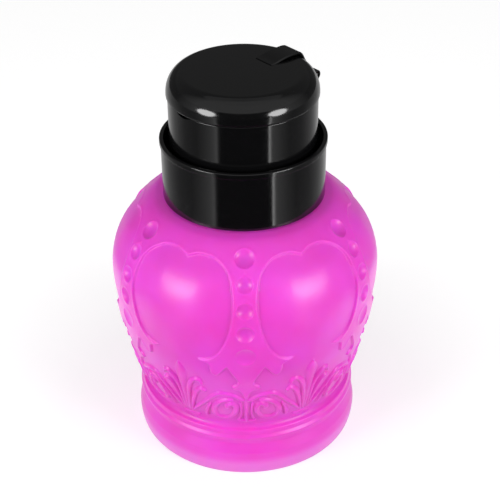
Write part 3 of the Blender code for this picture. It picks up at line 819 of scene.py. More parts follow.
@dataclass(frozen=True)
class Dimple:
    """A round hollow in a column: its height on the bottle, width, depth and how full its bowl is."""

    height: float
    width: float
    depth: float = 1.0
    fullness: float = 0.8


@dataclass(frozen=True)
class CrownOrnament:
    """Crown relief: six jewelled columns, swelling fields between them, and scrolls with palmettes.

    It is drawn once, from a column's line to the middle of the next field, and mirrored round. The
    lobe and the pendant are the edge of a field, in degrees from the column's line and in height.
    That edge is closed to a loop past the line, below and above all the relief. A dot is the short
    line that stands for the middle of a dimple.
    """

    sectors: int = 6
    ground: float = -0.6
    band_rise: float = 0.5
    scroll_top: float = 46.5
    edge_width: float = 0.4
    puff: float = 0.58
    puff_width: float = 12.0
    puff_fade: Point = (36.0, 12.0)
    rim_rise: float = 0.10
    rim_width: float = 0.45
    lobe_steps: int = 6
    pendant_steps: int = 4
    past_line: float = -9.0
    below_all: float = -1.0
    above_all: float = 99.0
    dot: float = 0.01
    dimples: tuple[Dimple, ...] = (
        Dimple(72.8, 5.2), Dimple(67.5, 4.4), Dimple(61.1, 4.4), Dimple(54.3, 4.7), Dimple(46.75, 5.4, 0.6))
    lobe: tuple[Point, ...] = ((31.5, 72.7), (30.0, 72.05), (28.0, 72.35), (24.5, 72.9), (20.0, 72.95),
                               (15.5, 72.6), (12.0, 71.8), (9.0, 70.6), (7.1, 69.2), (5.9, 67.2), (5.3, 64.5),
                               (5.2, 61.5), (5.6, 58.5), (6.3, 55.8), (7.5, 52.8), (9.2, 49.8), (11.2, 47.6),
                               (14.0, 45.7), (17.0, 44.8), (20.3, 44.5))
    pendant: tuple[Point, ...] = ((18.0, 43.9), (15.6, 43.0), (15.3, 41.3), (14.6, 39.7), (12.6, 39.1),
                                  (10.4, 40.6), (7.9, 42.5), (6.2, 40.6), (4.4, 38.4), (3.4, 36.8),
                                  (4.0, 35.6), (5.2, 35.2), (6.2, 34.4), (5.0, 33.6), (3.0, 33.2),
                                  (1.3, 31.4), (0.5, 29.6), (-1.0, 28.9))
    ribs: tuple[Rib, ...] = (
        Rib(((0.0, 29.0, 0.6), (2.2, 29.1, 0.7), (4.0, 29.9, 0.75), (5.8, 30.5, 0.8), (8.0, 31.0, 0.8),
             (10.3, 31.2, 0.8), (12.6, 31.2, 0.8), (15.1, 30.1, 0.8), (17.3, 28.6, 0.75), (19.7, 26.8, 0.7),
             (22.5, 24.9, 0.65), (25.6, 22.7, 0.6), (28.4, 20.7, 0.5))),
        Rib(((6.3, 29.0, 0.4), (8.2, 28.8, 0.6), (10.6, 28.3, 0.75), (13.1, 27.2, 0.85), (15.2, 25.5, 0.9),
             (16.1, 23.6, 0.9), (15.6, 21.7, 0.9), (13.7, 20.5, 0.9), (10.9, 20.3, 0.85), (7.9, 21.1, 0.8),
             (5.7, 23.0, 0.8), (4.9, 25.0, 0.8), (5.5, 26.5, 0.8), (7.1, 27.1, 0.85), (8.6, 26.5, 0.95),
             (9.1, 25.7, 0.95)), rise=0.68),
        Rib(((17.4, 26.3, 0.35), (19.0, 24.0, 0.5), (20.1, 21.9, 0.65), (20.5, 20.4, 0.7)), rise=0.6),
        Rib(((3.0, 28.0, 0.3), (2.5, 25.0, 0.35), (2.6, 21.8, 0.35), (3.6, 20.0, 0.3)), rise=0.4),
        Rib(((0.0, 31.4, 0.7), (0.0, 26.0, 0.5), (0.0, 19.0, 0.6)), rise=0.6),
        Rib(((0.0, 18.7, 0.6), (2.2, 18.9, 0.5), (4.4, 19.3, 0.4)), rise=0.55),
        Rib(((30.0, 20.6, 0.5), (30.0, 28.0, 0.95), (30.0, 34.0, 1.5), (30.0, 37.5, 1.9), (30.0, 39.8, 1.2),
             (30.0, 41.3, 0.15))),
        Rib(((28.9, 21.4, 0.5), (28.4, 25.4, 0.7), (27.6, 30.0, 0.8), (26.6, 32.6, 0.8), (25.0, 34.5, 0.8),
             (22.8, 35.6, 0.8), (21.0, 35.4, 0.7), (20.3, 34.3, 0.45)), rise=0.72),
        Rib(((27.9, 21.4, 0.4), (26.9, 24.4, 0.6), (25.6, 27.2, 0.75), (24.1, 29.8, 0.8), (22.4, 31.4, 0.8),
             (20.6, 32.1, 0.75), (19.2, 31.5, 0.5)), rise=0.72),
        Rib(((25.4, 18.9, 0.4), (27.6, 18.7, 0.5), (30.0, 18.7, 0.6)), rise=0.5),
    )

    def relief(self, rows: np.ndarray, columns: int) -> np.ndarray:
        """Work out the relief over half a sector.

        Args:
            rows: (radius, height) of the plain body at each row.
            columns: Steps from a column's line to the middle of the field.

        Returns:
            How far each row and column stands out from the body, in millimetres.
        """
        turns = np.linspace(0, 180 / self.sectors, columns + 1)
        marks = np.stack(np.meshgrid(turns, rows[:, 1]), axis=-1)
        places = on_body(marks, rows)
        edge = np.concatenate([smooth_curve(self.lobe, self.lobe_steps),
                               smooth_curve(self.pendant, self.pendant_steps)])
        gap, _ = nearest(places, on_body(edge, rows))
        around = np.array([(edge[-1, 0], self.below_all), (self.past_line, self.below_all),
                           (self.past_line, self.above_all), (edge[0, 0], self.above_all)])
        gap = np.where(inside(marks, np.concatenate([edge, around])), gap, -gap)
        heights = self.ground + self.band_rise * eased(gap / self.edge_width + 0.5)
        heights += self.rim_rise * np.exp(-((gap - self.edge_width) / self.rim_width) ** 2)
        fading = eased((marks[..., 1] - self.puff_fade[0]) / self.puff_fade[1])
        heights += self.puff * (eased(-gap / self.puff_width) * fading)
        low = rows[:, 1] < self.scroll_top
        for rib in self.ribs:
            line = smooth_curve(rib.line, rib.steps)
            path = on_body(line[:, :2], rows)
            gap, share = nearest(places[low], path)
            along = lengths_along(path)
            width = np.interp(share, along / along[-1], line[:, 2])
            crown = np.clip(1 - (gap / width) ** 2, 0, 1) ** rib.crown
            heights[low] = np.maximum(heights[low], self.ground + rib.rise * crown)
        for dimple in self.dimples:
            middle = np.array([(0.0, dimple.height), (self.dot, dimple.height)])
            gap, _ = nearest(places, on_body(middle, rows))
            bowl = np.clip(1 - (gap / (dimple.width / 2)) ** 2, 0, 1) ** dimple.fullness
            rim = np.exp(-((gap - dimple.width / 2 - self.rim_width / 2) / self.rim_width) ** 2)
            heights += self.rim_rise * rim * (bowl <= 0) - dimple.depth * bowl
        return heights


def on_body(marks: np.ndarray, rows: np.ndarray) -> np.ndarray:
    """Find where marks lie on the plain body.

    Args:
        marks: The marks, as degrees from the front and height, in any array.
        rows: (radius, height) of the body at each row.

    Returns:
        The places, in an array of the same shape.
    """
    turn = np.radians(marks[..., 0])
    radius = np.interp(marks[..., 1], rows[:, 1], rows[:, 0])
    return np.stack([radius * np.sin(turn), -radius * np.cos(turn), marks[..., 1]], axis=-1)


def leaves(heights: np.ndarray, block: int, tolerance: float) -> list[tuple[int, ...]]:
    """Cover a grid of heights with square leaves, small only where a larger one would miss a height.

    Args:
        heights: The heights; each side has a whole number of blocks.
        block: Grid steps in the largest leaf, a power of two.
        tolerance: The largest miss that is let pass.

    Returns:
        Quads and triangles between the grid's points, by flat number, with no gap at a change of size.
    """
    rows, columns = heights.shape
    rough = {}
    size = block
    while size > 1:
        low, high = heights[:-1:size, :], heights[size::size, :]
        worst = np.zeros((rows // size, columns // size))
        for up in range(size + 1):
            for on in range(size + 1):
                left = low[:, :-1:size] * (size - up) + high[:, :-1:size] * up
                right = low[:, size::size] * (size - up) + high[:, size::size] * up
                guess = (left * (size - on) + right * on) / size ** 2
                real = heights[up::size, on::size][:worst.shape[0], :worst.shape[1]]
                worst = np.maximum(worst, np.abs(real - guess))
        rough[size] = worst > tolerance
        size //= 2
    waiting = [(row, column, block)
               for row in range(0, rows - 1, block) for column in range(0, columns - 1, block)]
    cells = []
    while waiting:
        row, column, size = waiting.pop()
        if size > 1 and rough[size][row // size, column // size]:
            half = size // 2
            waiting += [(row + up, column + on, half) for up in (0, half) for on in (0, half)]
        else:
            cells.append((row, column, size))
    used = np.zeros(heights.shape, bool)
    for row, column, size in cells:
        used[row:row + size + 1:size, column:column + size + 1:size] = True
    faces: list[tuple[int, ...]] = []
    for row, column, size in cells:
        walk = [(row, column + step) for step in range(size)]
        walk += [(row + step, column + size) for step in range(size)]
        walk += [(row + size, column + size - step) for step in range(size)]
        walk += [(row + size - step, column) for step in range(size)]
        loop = [up * columns + on for up, on in walk if used[up, on]]
        if len(loop) == 4:
            faces.append(tuple(loop))
            continue
        middle = (row + size // 2) * columns + column + size // 2
        faces += [(middle, here, there) for here, there in zip(loop, loop[1:] + loop[:1])]
    return faces


def nearest(places: np.ndarray, path: np.ndarray) -> tuple[np.ndarray, np.ndarray]:
    """Find how near a path passes to places.

    Args:
        places: The places, in any array of points.
        path: The path's points.

    Returns:
        The least distance, and the share of the path's length where it is.
    """
    along = lengths_along(path)
    least = np.full(places.shape[:-1], np.inf)
    share = np.zeros(places.shape[:-1])
    for index, (start, end) in enumerate(zip(path, path[1:])):
        step = end - start
        part = np.clip((places - start) @ step / max(step @ step, TINY ** 2), 0, 1)
        gap = np.linalg.norm(places - start - part[..., None] * step, axis=-1)
        nearer = gap < least
        least = np.where(nearer, gap, least)
        here = (along[index] + part * (along[index + 1] - along[index])) / along[-1]
        share = np.where(nearer, here, share)
    return least, share


def inside(places: np.ndarray, loop: np.ndarray) -> np.ndarray:
    """Find which flat places are inside a closed loop.

    Args:
        places: The places, in any array of points.
        loop: The loop's points.

    Returns:
        Whether each place is inside.
    """
    found = np.zeros(places.shape[:-1], bool)
    for (x1, y1), (x2, y2) in zip(loop, np.roll(loop, -1, axis=0)):
        if y1 == y2:
            continue
        crosses = (y1 > places[..., 1]) != (y2 > places[..., 1])
        found ^= crosses & (places[..., 0] < (x2 - x1) * (places[..., 1] - y1) / (y2 - y1) + x1)
    return found


def eased(share: np.ndarray) -> np.ndarray:
    """Ease a share in and out between 0 and 1."""
    share = np.clip(share, 0, 1)
    return share ** 2 * (3 - 2 * share)


# Screw threads

@dataclass(frozen=True)
class Thread:
    """A helical rib: its pitch, half its width, how far it stands out, and how many turns it makes.

    It starts at its lowest point, at a share of a turn from the front. Its ends fade over a share of
    a turn, and the steeper its flank, the broader its crest.
    """

    pitch: float = 4.0
    rib: float = 0.9
    depth: float = 1.0
    turns: float = 1.475
    fade: float = 0.05
    start: float = 0.25
    flank: float = 1.6

    def out(self, low: float, height: float, count: int) -> np.ndarray:
        """How far the rib stands out at a height.

        Args:
            low: Height of the rib's start.
            height: The height.
            count: Steps round, from the front.

        Returns:
            The rib's rise at each step, in millimetres.
        """
        turn = (np.arange(count) / count - self.start) % 1
        risen = np.zeros(count)
        for lap in range(math.ceil(self.turns) + 1):
            done = turn + lap
            gap = np.abs(height - low - self.pitch * done) / self.rib
            ends = np.clip(np.minimum(done, self.turns - done) / self.fade, 0, 1)
            risen = np.maximum(risen, eased((1 - gap) * self.flank) * ends)
        return risen * self.depth


# Bottle

@dataclass(frozen=True)
class Bottle:
    """Waisted bottle with a foot band, a bead, the crown relief and a screw neck.

    The corners of the cove, the notch and the bead are (out, up, rounding) from the point that each
    belongs to: the heel's top, the foot's top, the bead's foot and the crease above it. The shares
    are (up, out) along the flank and the shoulder. The relief's own normals are kept from lean_from
    over the crease to lean_to under the ledge.
    """

    foot_radius: float = 32.75
    heel_width: float = 1.05
    heel_height: float = 5.0
    heel_steps: int = 17
    foot_neck: float = 30.95
    foot_height: float = 12.3
    stand_slope: float = 3.0
    stand_edges: Point = (1.0, 0.8)
    cove_start: Corner = (-0.45, 2.5, 2.0)
    cove_end: Corner = (0.1, -2.0, 2.0)
    notch: Corner = (0.0, -0.3, 0.3)
    bead_height: float = 3.5
    bead_proud: float = 1.75
    bead_side: tuple[Corner, ...] = ((0.0, 0.1, 0.2), (0.0, 0.9, 0.35), (-0.55, 1.7, 0.3))
    bead_top: Corner = (-0.65, -0.3, 0.5)
    waist_radius: float = 30.3
    belly_radius: float = 38.15
    belly_rise: float = 36.0
    shoulder_rise: float = 24.4
    ledge_radius: float = 24.3
    wall: float = 1.4
    inner_spacing: float = 3.0
    inner_gap: float = 0.4
    inner_edges: Point = (0.8, 3.0)
    push_up: float = 2.5
    ring_width: float = 2.3
    neck_radius: float = 15.4
    neck_height: float = 12.1
    neck_wall: float = 2.2
    neck_fillet: float = 0.6
    neck_foot: float = 1.4
    thread_root: float = 4.3
    rim_height: float = 0.5
    rim_depth: float = 2.0
    flank_shares: tuple[Point, ...] = ((0.0, 0.0), (0.083, 0.12), (0.194, 0.344), (0.333, 0.51), (0.5, 0.688),
                                       (0.667, 0.86), (0.833, 0.962), (1.0, 1.0))
    shoulder_shares: tuple[Point, ...] = ((0.246, 0.978), (0.451, 0.881), (0.656, 0.7), (0.803, 0.477),
                                          (0.943, 0.2), (1.0, 0.0))
    steps: int = 180
    path_steps: int = 40
    grid: float = 0.2
    block: int = 8
    tolerance: float = 0.07
    fade: float = 1.4
    lean_from: float = 0.3
    lean_to: float = 0.1
    neck_rows_from: float = 1.7
    neck_row: float = 0.3
    ornament: CrownOrnament = CrownOrnament()
    thread: Thread = Thread()
    finish: BlownPolyethylene = BlownPolyethylene()

    @property
    def waist(self) -> float:
        """Height of the crease above the bead."""
        return self.foot_height + self.bead_height

    @property
    def ledge(self) -> float:
        """Height of the ledge that the collar stands over."""
        return self.waist + self.belly_rise + self.shoulder_rise

    def body_path(self) -> np.ndarray:
        """Work out the plain outside of the body.

        Returns:
            Radius and height along it, from the crease up to the ledge.
        """
        belly = self.waist + self.belly_rise
        flare = self.belly_radius - self.waist_radius
        points = [(self.waist_radius + flare * out, self.waist + self.belly_rise * up)
                  for up, out in self.flank_shares]
        taper = self.belly_radius - self.ledge_radius
        points += [(self.ledge_radius + taper * out, belly + self.shoulder_rise * up)
                   for up, out in self.shoulder_shares]
        return smooth_curve(points, self.path_steps)

    def body_rows(self) -> np.ndarray:
        """Space the rows of the relief's finest grid evenly.

        Returns:
            Radius and height of each row; their number less one is a whole number of blocks.
        """
        path = self.body_path()
        travel = lengths_along(path)[-1]
        return spaced(path, travel / (round(travel / self.grid / self.block) * self.block))

    def foot_path(self, crease: Point) -> list[Point]:
        """Outside of the foot band and the bead, from the base up to the crease above the bead.

        Args:
            crease: Radius and height where the relief's ground starts.

        Returns:
            The outline's points, from the middle of the base.
        """
        proud = self.waist_radius + self.bead_proud
        stand = self.foot_radius - self.heel_width - self.ring_width
        base = [(0, self.push_up, 0), (stand - self.stand_slope, self.push_up, self.stand_edges[0]),
                (stand, 0, self.stand_edges[1])]
        heel = [(self.foot_radius + (math.cos(turn) - 1) * self.heel_width,
                 (1 - math.sin(turn)) * self.heel_height, 0.0)
                for turn in np.linspace(math.pi / 2, 0, self.heel_steps)]
        cove = placed([self.cove_start], self.foot_radius, self.heel_height)
        cove += placed([self.cove_end, self.notch], self.foot_neck, self.foot_height)
        bead = placed(self.bead_side, proud, self.foot_height) + placed([self.bead_top], proud, self.waist)
        return rounded(base + heel + cove + bead + [(*crease, 0)], closed=False)

    def relief_patch(self) -> tuple[np.ndarray, np.ndarray, list[tuple[int, ...]]]:
        """Mesh half a sector, finely only where the relief bends.

        Returns:
            Its points and normals in millimetres, by row and column, and the faces as flat numbers of them.
        """
        rows = self.body_rows()
        columns = self.steps // (2 * self.ornament.sectors) * self.block
        heights = self.ornament.relief(rows, columns)
        along = directions(rows)
        travel = lengths_along(rows)
        heights *= eased((travel[-1] - travel) / self.fade - 1)[:, None]
        radius = rows[:, :1] + along[:, 1:] * heights
        level = rows[:, 1:] - along[:, :1] * heights
        half = math.pi / self.ornament.sectors
        turn = np.linspace(0, half, columns + 1)
        points = np.stack([radius * np.sin(turn), -radius * np.cos(turn), level], axis=-1)
        square = np.array((math.cos(half), math.sin(half), 0.0))
        beyond = points[:, -2] - 2 * (points[:, -2] @ square)[:, None] * square
        wide = np.concatenate([points[:, 1:2] * (-1, 1, 1), points, beyond[:, None]], axis=1)
        normals = np.cross(wide[:, 2:] - wide[:, :-2], np.gradient(points, axis=0))
        normals /= np.linalg.norm(normals, axis=-1, keepdims=True)
        return points, normals, leaves(heights, self.block, self.tolerance)

    def relief_skin(self) -> tuple[Form, np.ndarray]:
        """Repeat the patch and its mirror image all round.

        Returns:
            The ornamented body, and the normal at each of its points.
        """
        points, normals, patch = self.relief_patch()
        rows, columns = points.shape[:2]
        halves = 2 * self.ornament.sectors
        total = (columns - 1) * halves
        used = np.unique(np.concatenate([np.array(face) for face in patch]))
        row, column = used // columns, used % columns
        keys, places, leans = [], [], []
        for half in range(halves):
            side = half % 2
            around = half * (columns - 1) + (columns - 1 - column if side else column)
            keys.append(row * total + around % total)
            turn = (half // 2 + side) * math.tau / self.ornament.sectors
            spin = np.array(Matrix.Rotation(turn, 3, "Z")) @ np.diag((-1 if side else 1, 1, 1))
            places.append(points.reshape(-1, 3)[used] @ spin.T)
            leans.append(normals.reshape(-1, 3)[used] @ spin.T)
        _, first, number = np.unique(np.concatenate(keys), return_index=True, return_inverse=True)
        faces = []
        for half in range(halves):
            for count in (3, 4):
                loops = np.array([face for face in patch if len(face) == count])
                loops = number[half * len(used) + np.searchsorted(used, loops)]
                faces += map(tuple, loops[:, ::-1 if half % 2 else 1].tolist())
        return Form(np.concatenate(places)[first], faces), np.concatenate(leans)[first]

    def build(self) -> None:
        """Build the shell, with its inside, its threaded neck and its pushed-up base."""
        body, leans = self.relief_skin()
        lowest = body.points[body.points[:, 2].argmin()]
        foot = self.foot_path((math.hypot(lowest[0], lowest[1]), float(lowest[2])))
        forms = [body, woven([ring(radius, height, self.steps) for radius, height in foot])]
        neck = [ring(self.ledge_radius, self.ledge, self.steps)] + self.neck_rings() + self.inner_rings()
        forms.append(woven(neck))
        whole = welded(forms)
        piece = piece_of("moulded_bottle", whole)
        dressed(piece, "bottle", "bottle", self.finish, led=False)
        level = body.points[:, 2]
        ends = (level > self.waist + self.lean_from) & (level < self.ledge - self.lean_to)
        known = {tuple(place): lean for place, lean in
                 zip(np.round(body.points[ends], WELD_DIGITS).tolist(), leans[ends].tolist())}
        nowhere = (0.0, 0.0, 0.0)
        normals = [known.get(tuple(place), nowhere) for place in np.round(whole.points, WELD_DIGITS).tolist()]
        piece.data.normals_split_custom_set_from_vertices(normals)

    def neck_rings(self) -> list[np.ndarray]:
        """Build the outside of the neck, with its thread, and its rim.

        Returns:
            Rings from the ledge up and over the rim.
        """
        ledge, top = self.ledge, self.ledge + self.neck_height
        bore = self.neck_radius - self.neck_wall
        foot = rounded([(self.ledge_radius, ledge, 0), (self.neck_radius, ledge, self.neck_fillet),
                        (self.neck_radius, ledge + self.neck_foot, 0)], closed=False)
        rings = [ring(radius, height, self.steps) for radius, height in foot[1:]]
        for height in np.arange(ledge + self.neck_rows_from, top - self.rim_height, self.neck_row):
            risen = self.thread.out(ledge + self.thread_root, float(height), self.steps)
            rings.append(ring(self.neck_radius + risen, float(height), self.steps))
        rim = rounded([(self.neck_radius, top - self.rim_height, 0), (self.neck_radius, top, SOFT),
                       (bore, top, SOFT), (bore, top - self.rim_depth, 0)], closed=False)
        return rings + [ring(radius, height, self.steps) for radius, height in rim]

    def inner_rings(self) -> list[np.ndarray]:
        """Build the inside of the shell.

        Returns:
            Rings from the neck's bore down to the middle of the floor.
        """
        bore = self.neck_radius - self.neck_wall
        floor = self.push_up + self.wall
        heel = self.foot_neck - self.wall
        shoulder = self.ledge - self.wall
        walls = inset(spaced(self.body_path(), self.inner_spacing), self.wall)[::-1]
        inner = [(bore, shoulder, 0)]
        inner += [(radius, level, 0) for radius, level in walls.tolist() if level < shoulder - self.inner_gap]
        inner += [(heel, self.foot_height - self.wall, self.inner_edges[0]),
                  (heel, floor, self.inner_edges[1]), (0, floor, 0)]
        return [ring(radius, level, self.steps) for radius, level in rounded(inner, closed=False)]


# Screw collar

@dataclass(frozen=True)
class ScrewCollar:
    """Deep closure: a threaded boss on the neck and an outer sleeve round the pump head."""

    web: float = 1.5
    wall: float = 1.2
    deck: float = 1.4
    rise: float = 1.1
    lip: float = 1.5
    lip_proud: float = 0.35
    boss_radius: float = 18.3
    boss_bore: float = 16.9
    deck_hole: float = 7.8
    edge: float = 0.35
    thread_root: float = 3.1
    ledge_gap: float = 0.4
    thread_low: float = 0.9
    thread_high: float = 0.6
    thread_row: float = 0.3
    seam_reach: float = 1.0
    thread: Thread = Thread()
    finish: GlossPolystyrene = GlossPolystyrene()

    def build(self) -> None:
        """Turn the collar, with its rib inside the boss."""
        lip_radius, low, top = reach_of("collar")
        radius = lip_radius - self.lip_proud
        bore = radius - self.wall
        deck_top = top - self.rise
        deck = deck_top - self.deck
        web_top = low + self.web
        outline = [
            (lip_radius, top, self.edge), (lip_radius, top - self.lip, self.edge / 3),
            (radius, top - self.lip, self.edge / 3), (radius, low, self.edge),
            (self.boss_bore, low, FILLET)]
        after = [
            (self.boss_bore, deck, SOFT), (self.deck_hole, deck, EDGE), (self.deck_hole, deck_top, EDGE),
            (self.boss_radius, deck_top, FILLET), (self.boss_radius, web_top, ROUND), (bore, web_top, ROUND),
            (bore, top - self.lip, SOFT), (bore + self.lip_proud, top, SOFT)]
        rings = [ring(r, z, TURN_STEPS) for r, z in rounded(after + outline)]
        # The outline is opened at the boss's bore, and the threaded rings close it.
        seam = next(index for index, loop in enumerate(rings)
                    if abs(loop[0, 1] + self.boss_bore) < TINY and loop[0, 2] > deck - self.seam_reach)
        threaded = []
        for height in np.arange(low + self.thread_low, deck - self.thread_high, self.thread_row):
            risen = self.thread.out(low - self.ledge_gap + self.thread_root, float(height), TURN_STEPS)
            threaded.append(ring(self.boss_bore - risen, float(height), TURN_STEPS))
        rings = threaded + rings[seam:] + rings[:seam]
        piece = piece_of("screw_collar", skin(rings, closed=True))
        dressed(piece, "collar", "collar", self.finish)


# Hinge of the lid

@dataclass(frozen=True)
class LidHinge:
    """Place and sizes of the lid's hinge, shared by the head and the lid.

    What cuts is longer than what it cuts by cut_over, and has a chamfer of cut_edge.
    """

    turn: float = 40.0
    skirt_radius: float = 20.2
    pin_radius: float = 0.5
    pin_edge: float = 0.15
    pin_short: float = 0.2
    hole_radius: float = 0.8
    cut_edge: float = 0.1
    cut_over: float = 1.0
    knuckle: float = 1.3
    half_width: float = 4.6
    side_gap: float = 0.4
    ear_width: float = 2.4
    pivot_z: float = 107.9

    @property
    def out(self) -> float:
        """Distance of the pin from the bottle's axis: it lies over the skirt's face."""
        return self.skirt_radius

    @property
    def ear_end(self) -> float:
        """Distance of an ear's outer face from the hinge's middle."""
        return self.half_width + self.side_gap + self.ear_width

    def place(self, points: np.ndarray) -> np.ndarray:
        """Turn points into the part's frame.

        Args:
            points: Points (out, along the pin, up), in any array.

        Returns:
            The points (x, y, z), in an array of the same shape.
        """
        angle = math.radians(self.turn)
        out, along, up = points[..., 0], points[..., 1], points[..., 2]
        return np.stack([out * math.cos(angle) - along * math.sin(angle),
                         out * math.sin(angle) + along * math.cos(angle), up], axis=-1)

    def plate(self, outline: np.ndarray, near: float, far: float, edge: float) -> Form:
        """A plate with a side outline, from one place along the pin to another.

        Args:
            outline: Points (out, up) of its closed outline, which runs anticlockwise.
            near: Where it starts along the pin.
            far: Where it ends.
            edge: Chamfer of its long edges.

        Returns:
            The closed form in the part's frame.
        """
        inner = shrunk(outline, edge)
        sides = ((near, inner), (near + edge, outline), (far - edge, outline), (far, inner))
        if not edge:
            sides = ((near, outline), (far, outline))
        return skin([self.place(np.insert(loop, 1, along, axis=1)) for along, loop in sides], capped=True)

    def pin(self, radius: float, half_length: float, edge: float) -> Form:
        """A rod along the pin's axis."""
        ends = [self.place(np.array((self.out, side * half_length, self.pivot_z))) for side in (-1, 1)]
        return rod(radius, ends[0], ends[1], edge)

    def bore(self) -> Form:
        """What cuts the pin's hole, through both ears."""
        return self.pin(self.hole_radius, self.ear_end + self.cut_over, self.cut_edge)

    def box(self, out: Point, along: Point, up: Point) -> Form:
        """A block between two distances out, along the pin and up."""
        corners = np.array([(out[0], up[0]), (out[1], up[0]), (out[1], up[1]), (out[0], up[1])])
        return self.plate(corners, along[0], along[1], 0.0)


# Pump head

@dataclass(frozen=True)
class PumpHead:
    """Push-down head: skirt, hinge ears, pin, dish tray and drilled nozzle cap.

    The jets are the cap's holes, which stand in a circle inside its dimple.
    """

    skirt_wall: float = 1.2
    floor: float = 1.2
    floor_top: float = 103.1
    rim: float = 106.3
    skirt_low: float = 87.0
    spout_radius: float = 3.9
    spout_bore: float = 2.9
    spout_low: float = 100.4
    spout_top: float = 106.92
    ear_drop: float = 3.9
    ear_shelf: float = 0.3
    eye_turn: Point = (-40.0, 180.0)
    eye_steps: int = 25
    scallop_radius: float = 6.0
    scallop_depth: float = 0.8
    scallop_reach: float = 2.5
    scallop_steps: int = 96
    tray_depth: float = 0.4
    tray_clear: float = 0.3
    tray_foot: float = 2.6
    tray_rim: float = 1.0
    tray_sweep: float = 1.2
    cap_wall: float = 1.2
    cap_deck: float = 1.0
    cap_edge: float = 0.6
    dimple_depth: float = 0.25
    dimple_radius: float = 2.9
    dimple_rim: float = 3.7
    dimple_sweep: float = 0.8
    jets: int = 6
    jet_circle: float = 2.2
    jet_radius: float = 0.45
    jet_edge: float = 0.05
    jet_cut: float = 3.0
    jet_steps: int = 24
    hinge: LidHinge = LidHinge()
    finish: GlossPolystyrene = GlossPolystyrene()
    steel: DrawnStainless = DrawnStainless()

    def build(self) -> None:
        """Build every piece of the head."""
        self.build_actuator()
        self.build_pin()
        self.build_tray()
        self.build_nozzle()

    def ear(self, side: int) -> Form:
        """Build one hinge ear: an eye round the pin on a foot in the skirt's wall.

        Args:
            side: 1 or -1, by which end of the pin it holds.

        Returns:
            The closed form.
        """
        hinge = self.hinge
        near, far = hinge.half_width + hinge.side_gap, hinge.ear_end
        root = math.sqrt((hinge.skirt_radius - self.skirt_wall / 2) ** 2 - ((near + far) / 2) ** 2)
        turn = np.radians(np.linspace(*self.eye_turn, self.eye_steps))
        eye = np.stack([hinge.out + hinge.knuckle * np.cos(turn),
                        hinge.pivot_z + hinge.knuckle * np.sin(turn)], axis=1)
        shelf = self.rim - self.ear_shelf
        foot = np.array([(hinge.out - hinge.knuckle, shelf), (root, shelf), (root, self.rim - self.ear_drop)])
        ends = (near, far) if side > 0 else (-far, -near)
        return hinge.plate(np.concatenate([eye, foot]), ends[0], ends[1], EASY)

    def build_actuator(self) -> None:
        """Turn the head's shell, add its ears, and cut the pin's bore and the thumb scallop."""
        radius = self.hinge.skirt_radius
        bore = radius - self.skirt_wall
        low = self.floor_top - self.floor
        outline = rounded([
            (radius, self.rim, EASY), (radius, self.skirt_low, SOFT), (bore, self.skirt_low, SOFT),
            (bore, low, FILLET), (self.spout_radius, low, SOFT), (self.spout_radius, self.spout_low, EDGE),
            (self.spout_bore, self.spout_low, EDGE), (self.spout_bore, self.spout_top, EDGE),
            (self.spout_radius, self.spout_top, EDGE), (self.spout_radius, self.floor_top, SOFT),
            (bore, self.floor_top, FILLET), (bore, self.rim, EASY)])
        level = self.rim + self.scallop_radius - self.scallop_depth
        ends = [self.hinge.place(np.array((-radius + reach, 0.0, level)))
                for reach in (-self.scallop_reach, self.scallop_reach)]
        scallop = rod(self.scallop_radius, ends[0], ends[1], self.hinge.cut_edge, self.scallop_steps)
        steps = [(self.ear(side), Operation.JOIN) for side in (-1, 1)]
        steps += [(self.hinge.bore(), Operation.CUT), (scallop, Operation.CUT)]
        piece = worked(piece_of("push_head", turned(outline)), steps)
        dressed(piece, "actuator", "head", self.finish)

    def build_pin(self) -> None:
        """The hinge's pin, with chamfered ends."""
        hinge = self.hinge
        form = hinge.pin(hinge.pin_radius, hinge.ear_end - hinge.pin_short, hinge.pin_edge)
        dressed(piece_of("lid_pin", form), "hinge_pin", "head", self.steel)

    def build_tray(self) -> None:
        """The dish, hollowed a little towards a raised rim."""
        rim, low, top = reach_of("dish_tray")
        floor = top - self.tray_depth
        hole = self.spout_radius + self.tray_clear
        outline = rounded([
            (rim, top, CRISP), (rim, low, CRISP), (hole, low, HAIR), (hole, floor, CRISP),
            (rim - self.tray_foot, floor, self.tray_sweep), (rim - self.tray_rim, top, FILLET)])
        dressed(piece_of("dish", turned(outline)), "dish_tray", "head", self.finish)

    def build_nozzle(self) -> None:
        """The drilled cap over the spout, with a shallow dimple round its holes."""
        radius, low, top = reach_of("nozzle_cap")
        bore, ceiling = radius - self.cap_wall, top - self.cap_deck
        outline = rounded([
            (0, top - self.dimple_depth, 0), (self.dimple_radius, top - self.dimple_depth, self.dimple_sweep),
            (self.dimple_rim, top, ROUND), (radius, top, self.cap_edge), (radius, low, CRISP),
            (bore, low, CRISP), (bore, ceiling, FILLET), (0, ceiling, 0)], closed=False)
        steps = []
        for index in range(self.jets):
            turn = math.tau * index / self.jets
            foot = np.array((self.jet_circle * math.cos(turn), self.jet_circle * math.sin(turn),
                             ceiling - self.hinge.cut_over))
            jet = rod(self.jet_radius, foot, foot + (0, 0, self.jet_cut), self.jet_edge, self.jet_steps)
            steps.append((jet, Operation.CUT))
        piece = worked(piece_of("spray_cap", turned(outline, closed=False)), steps)
        dressed(piece, "nozzle_cap", "head", self.finish)


# Flip lid

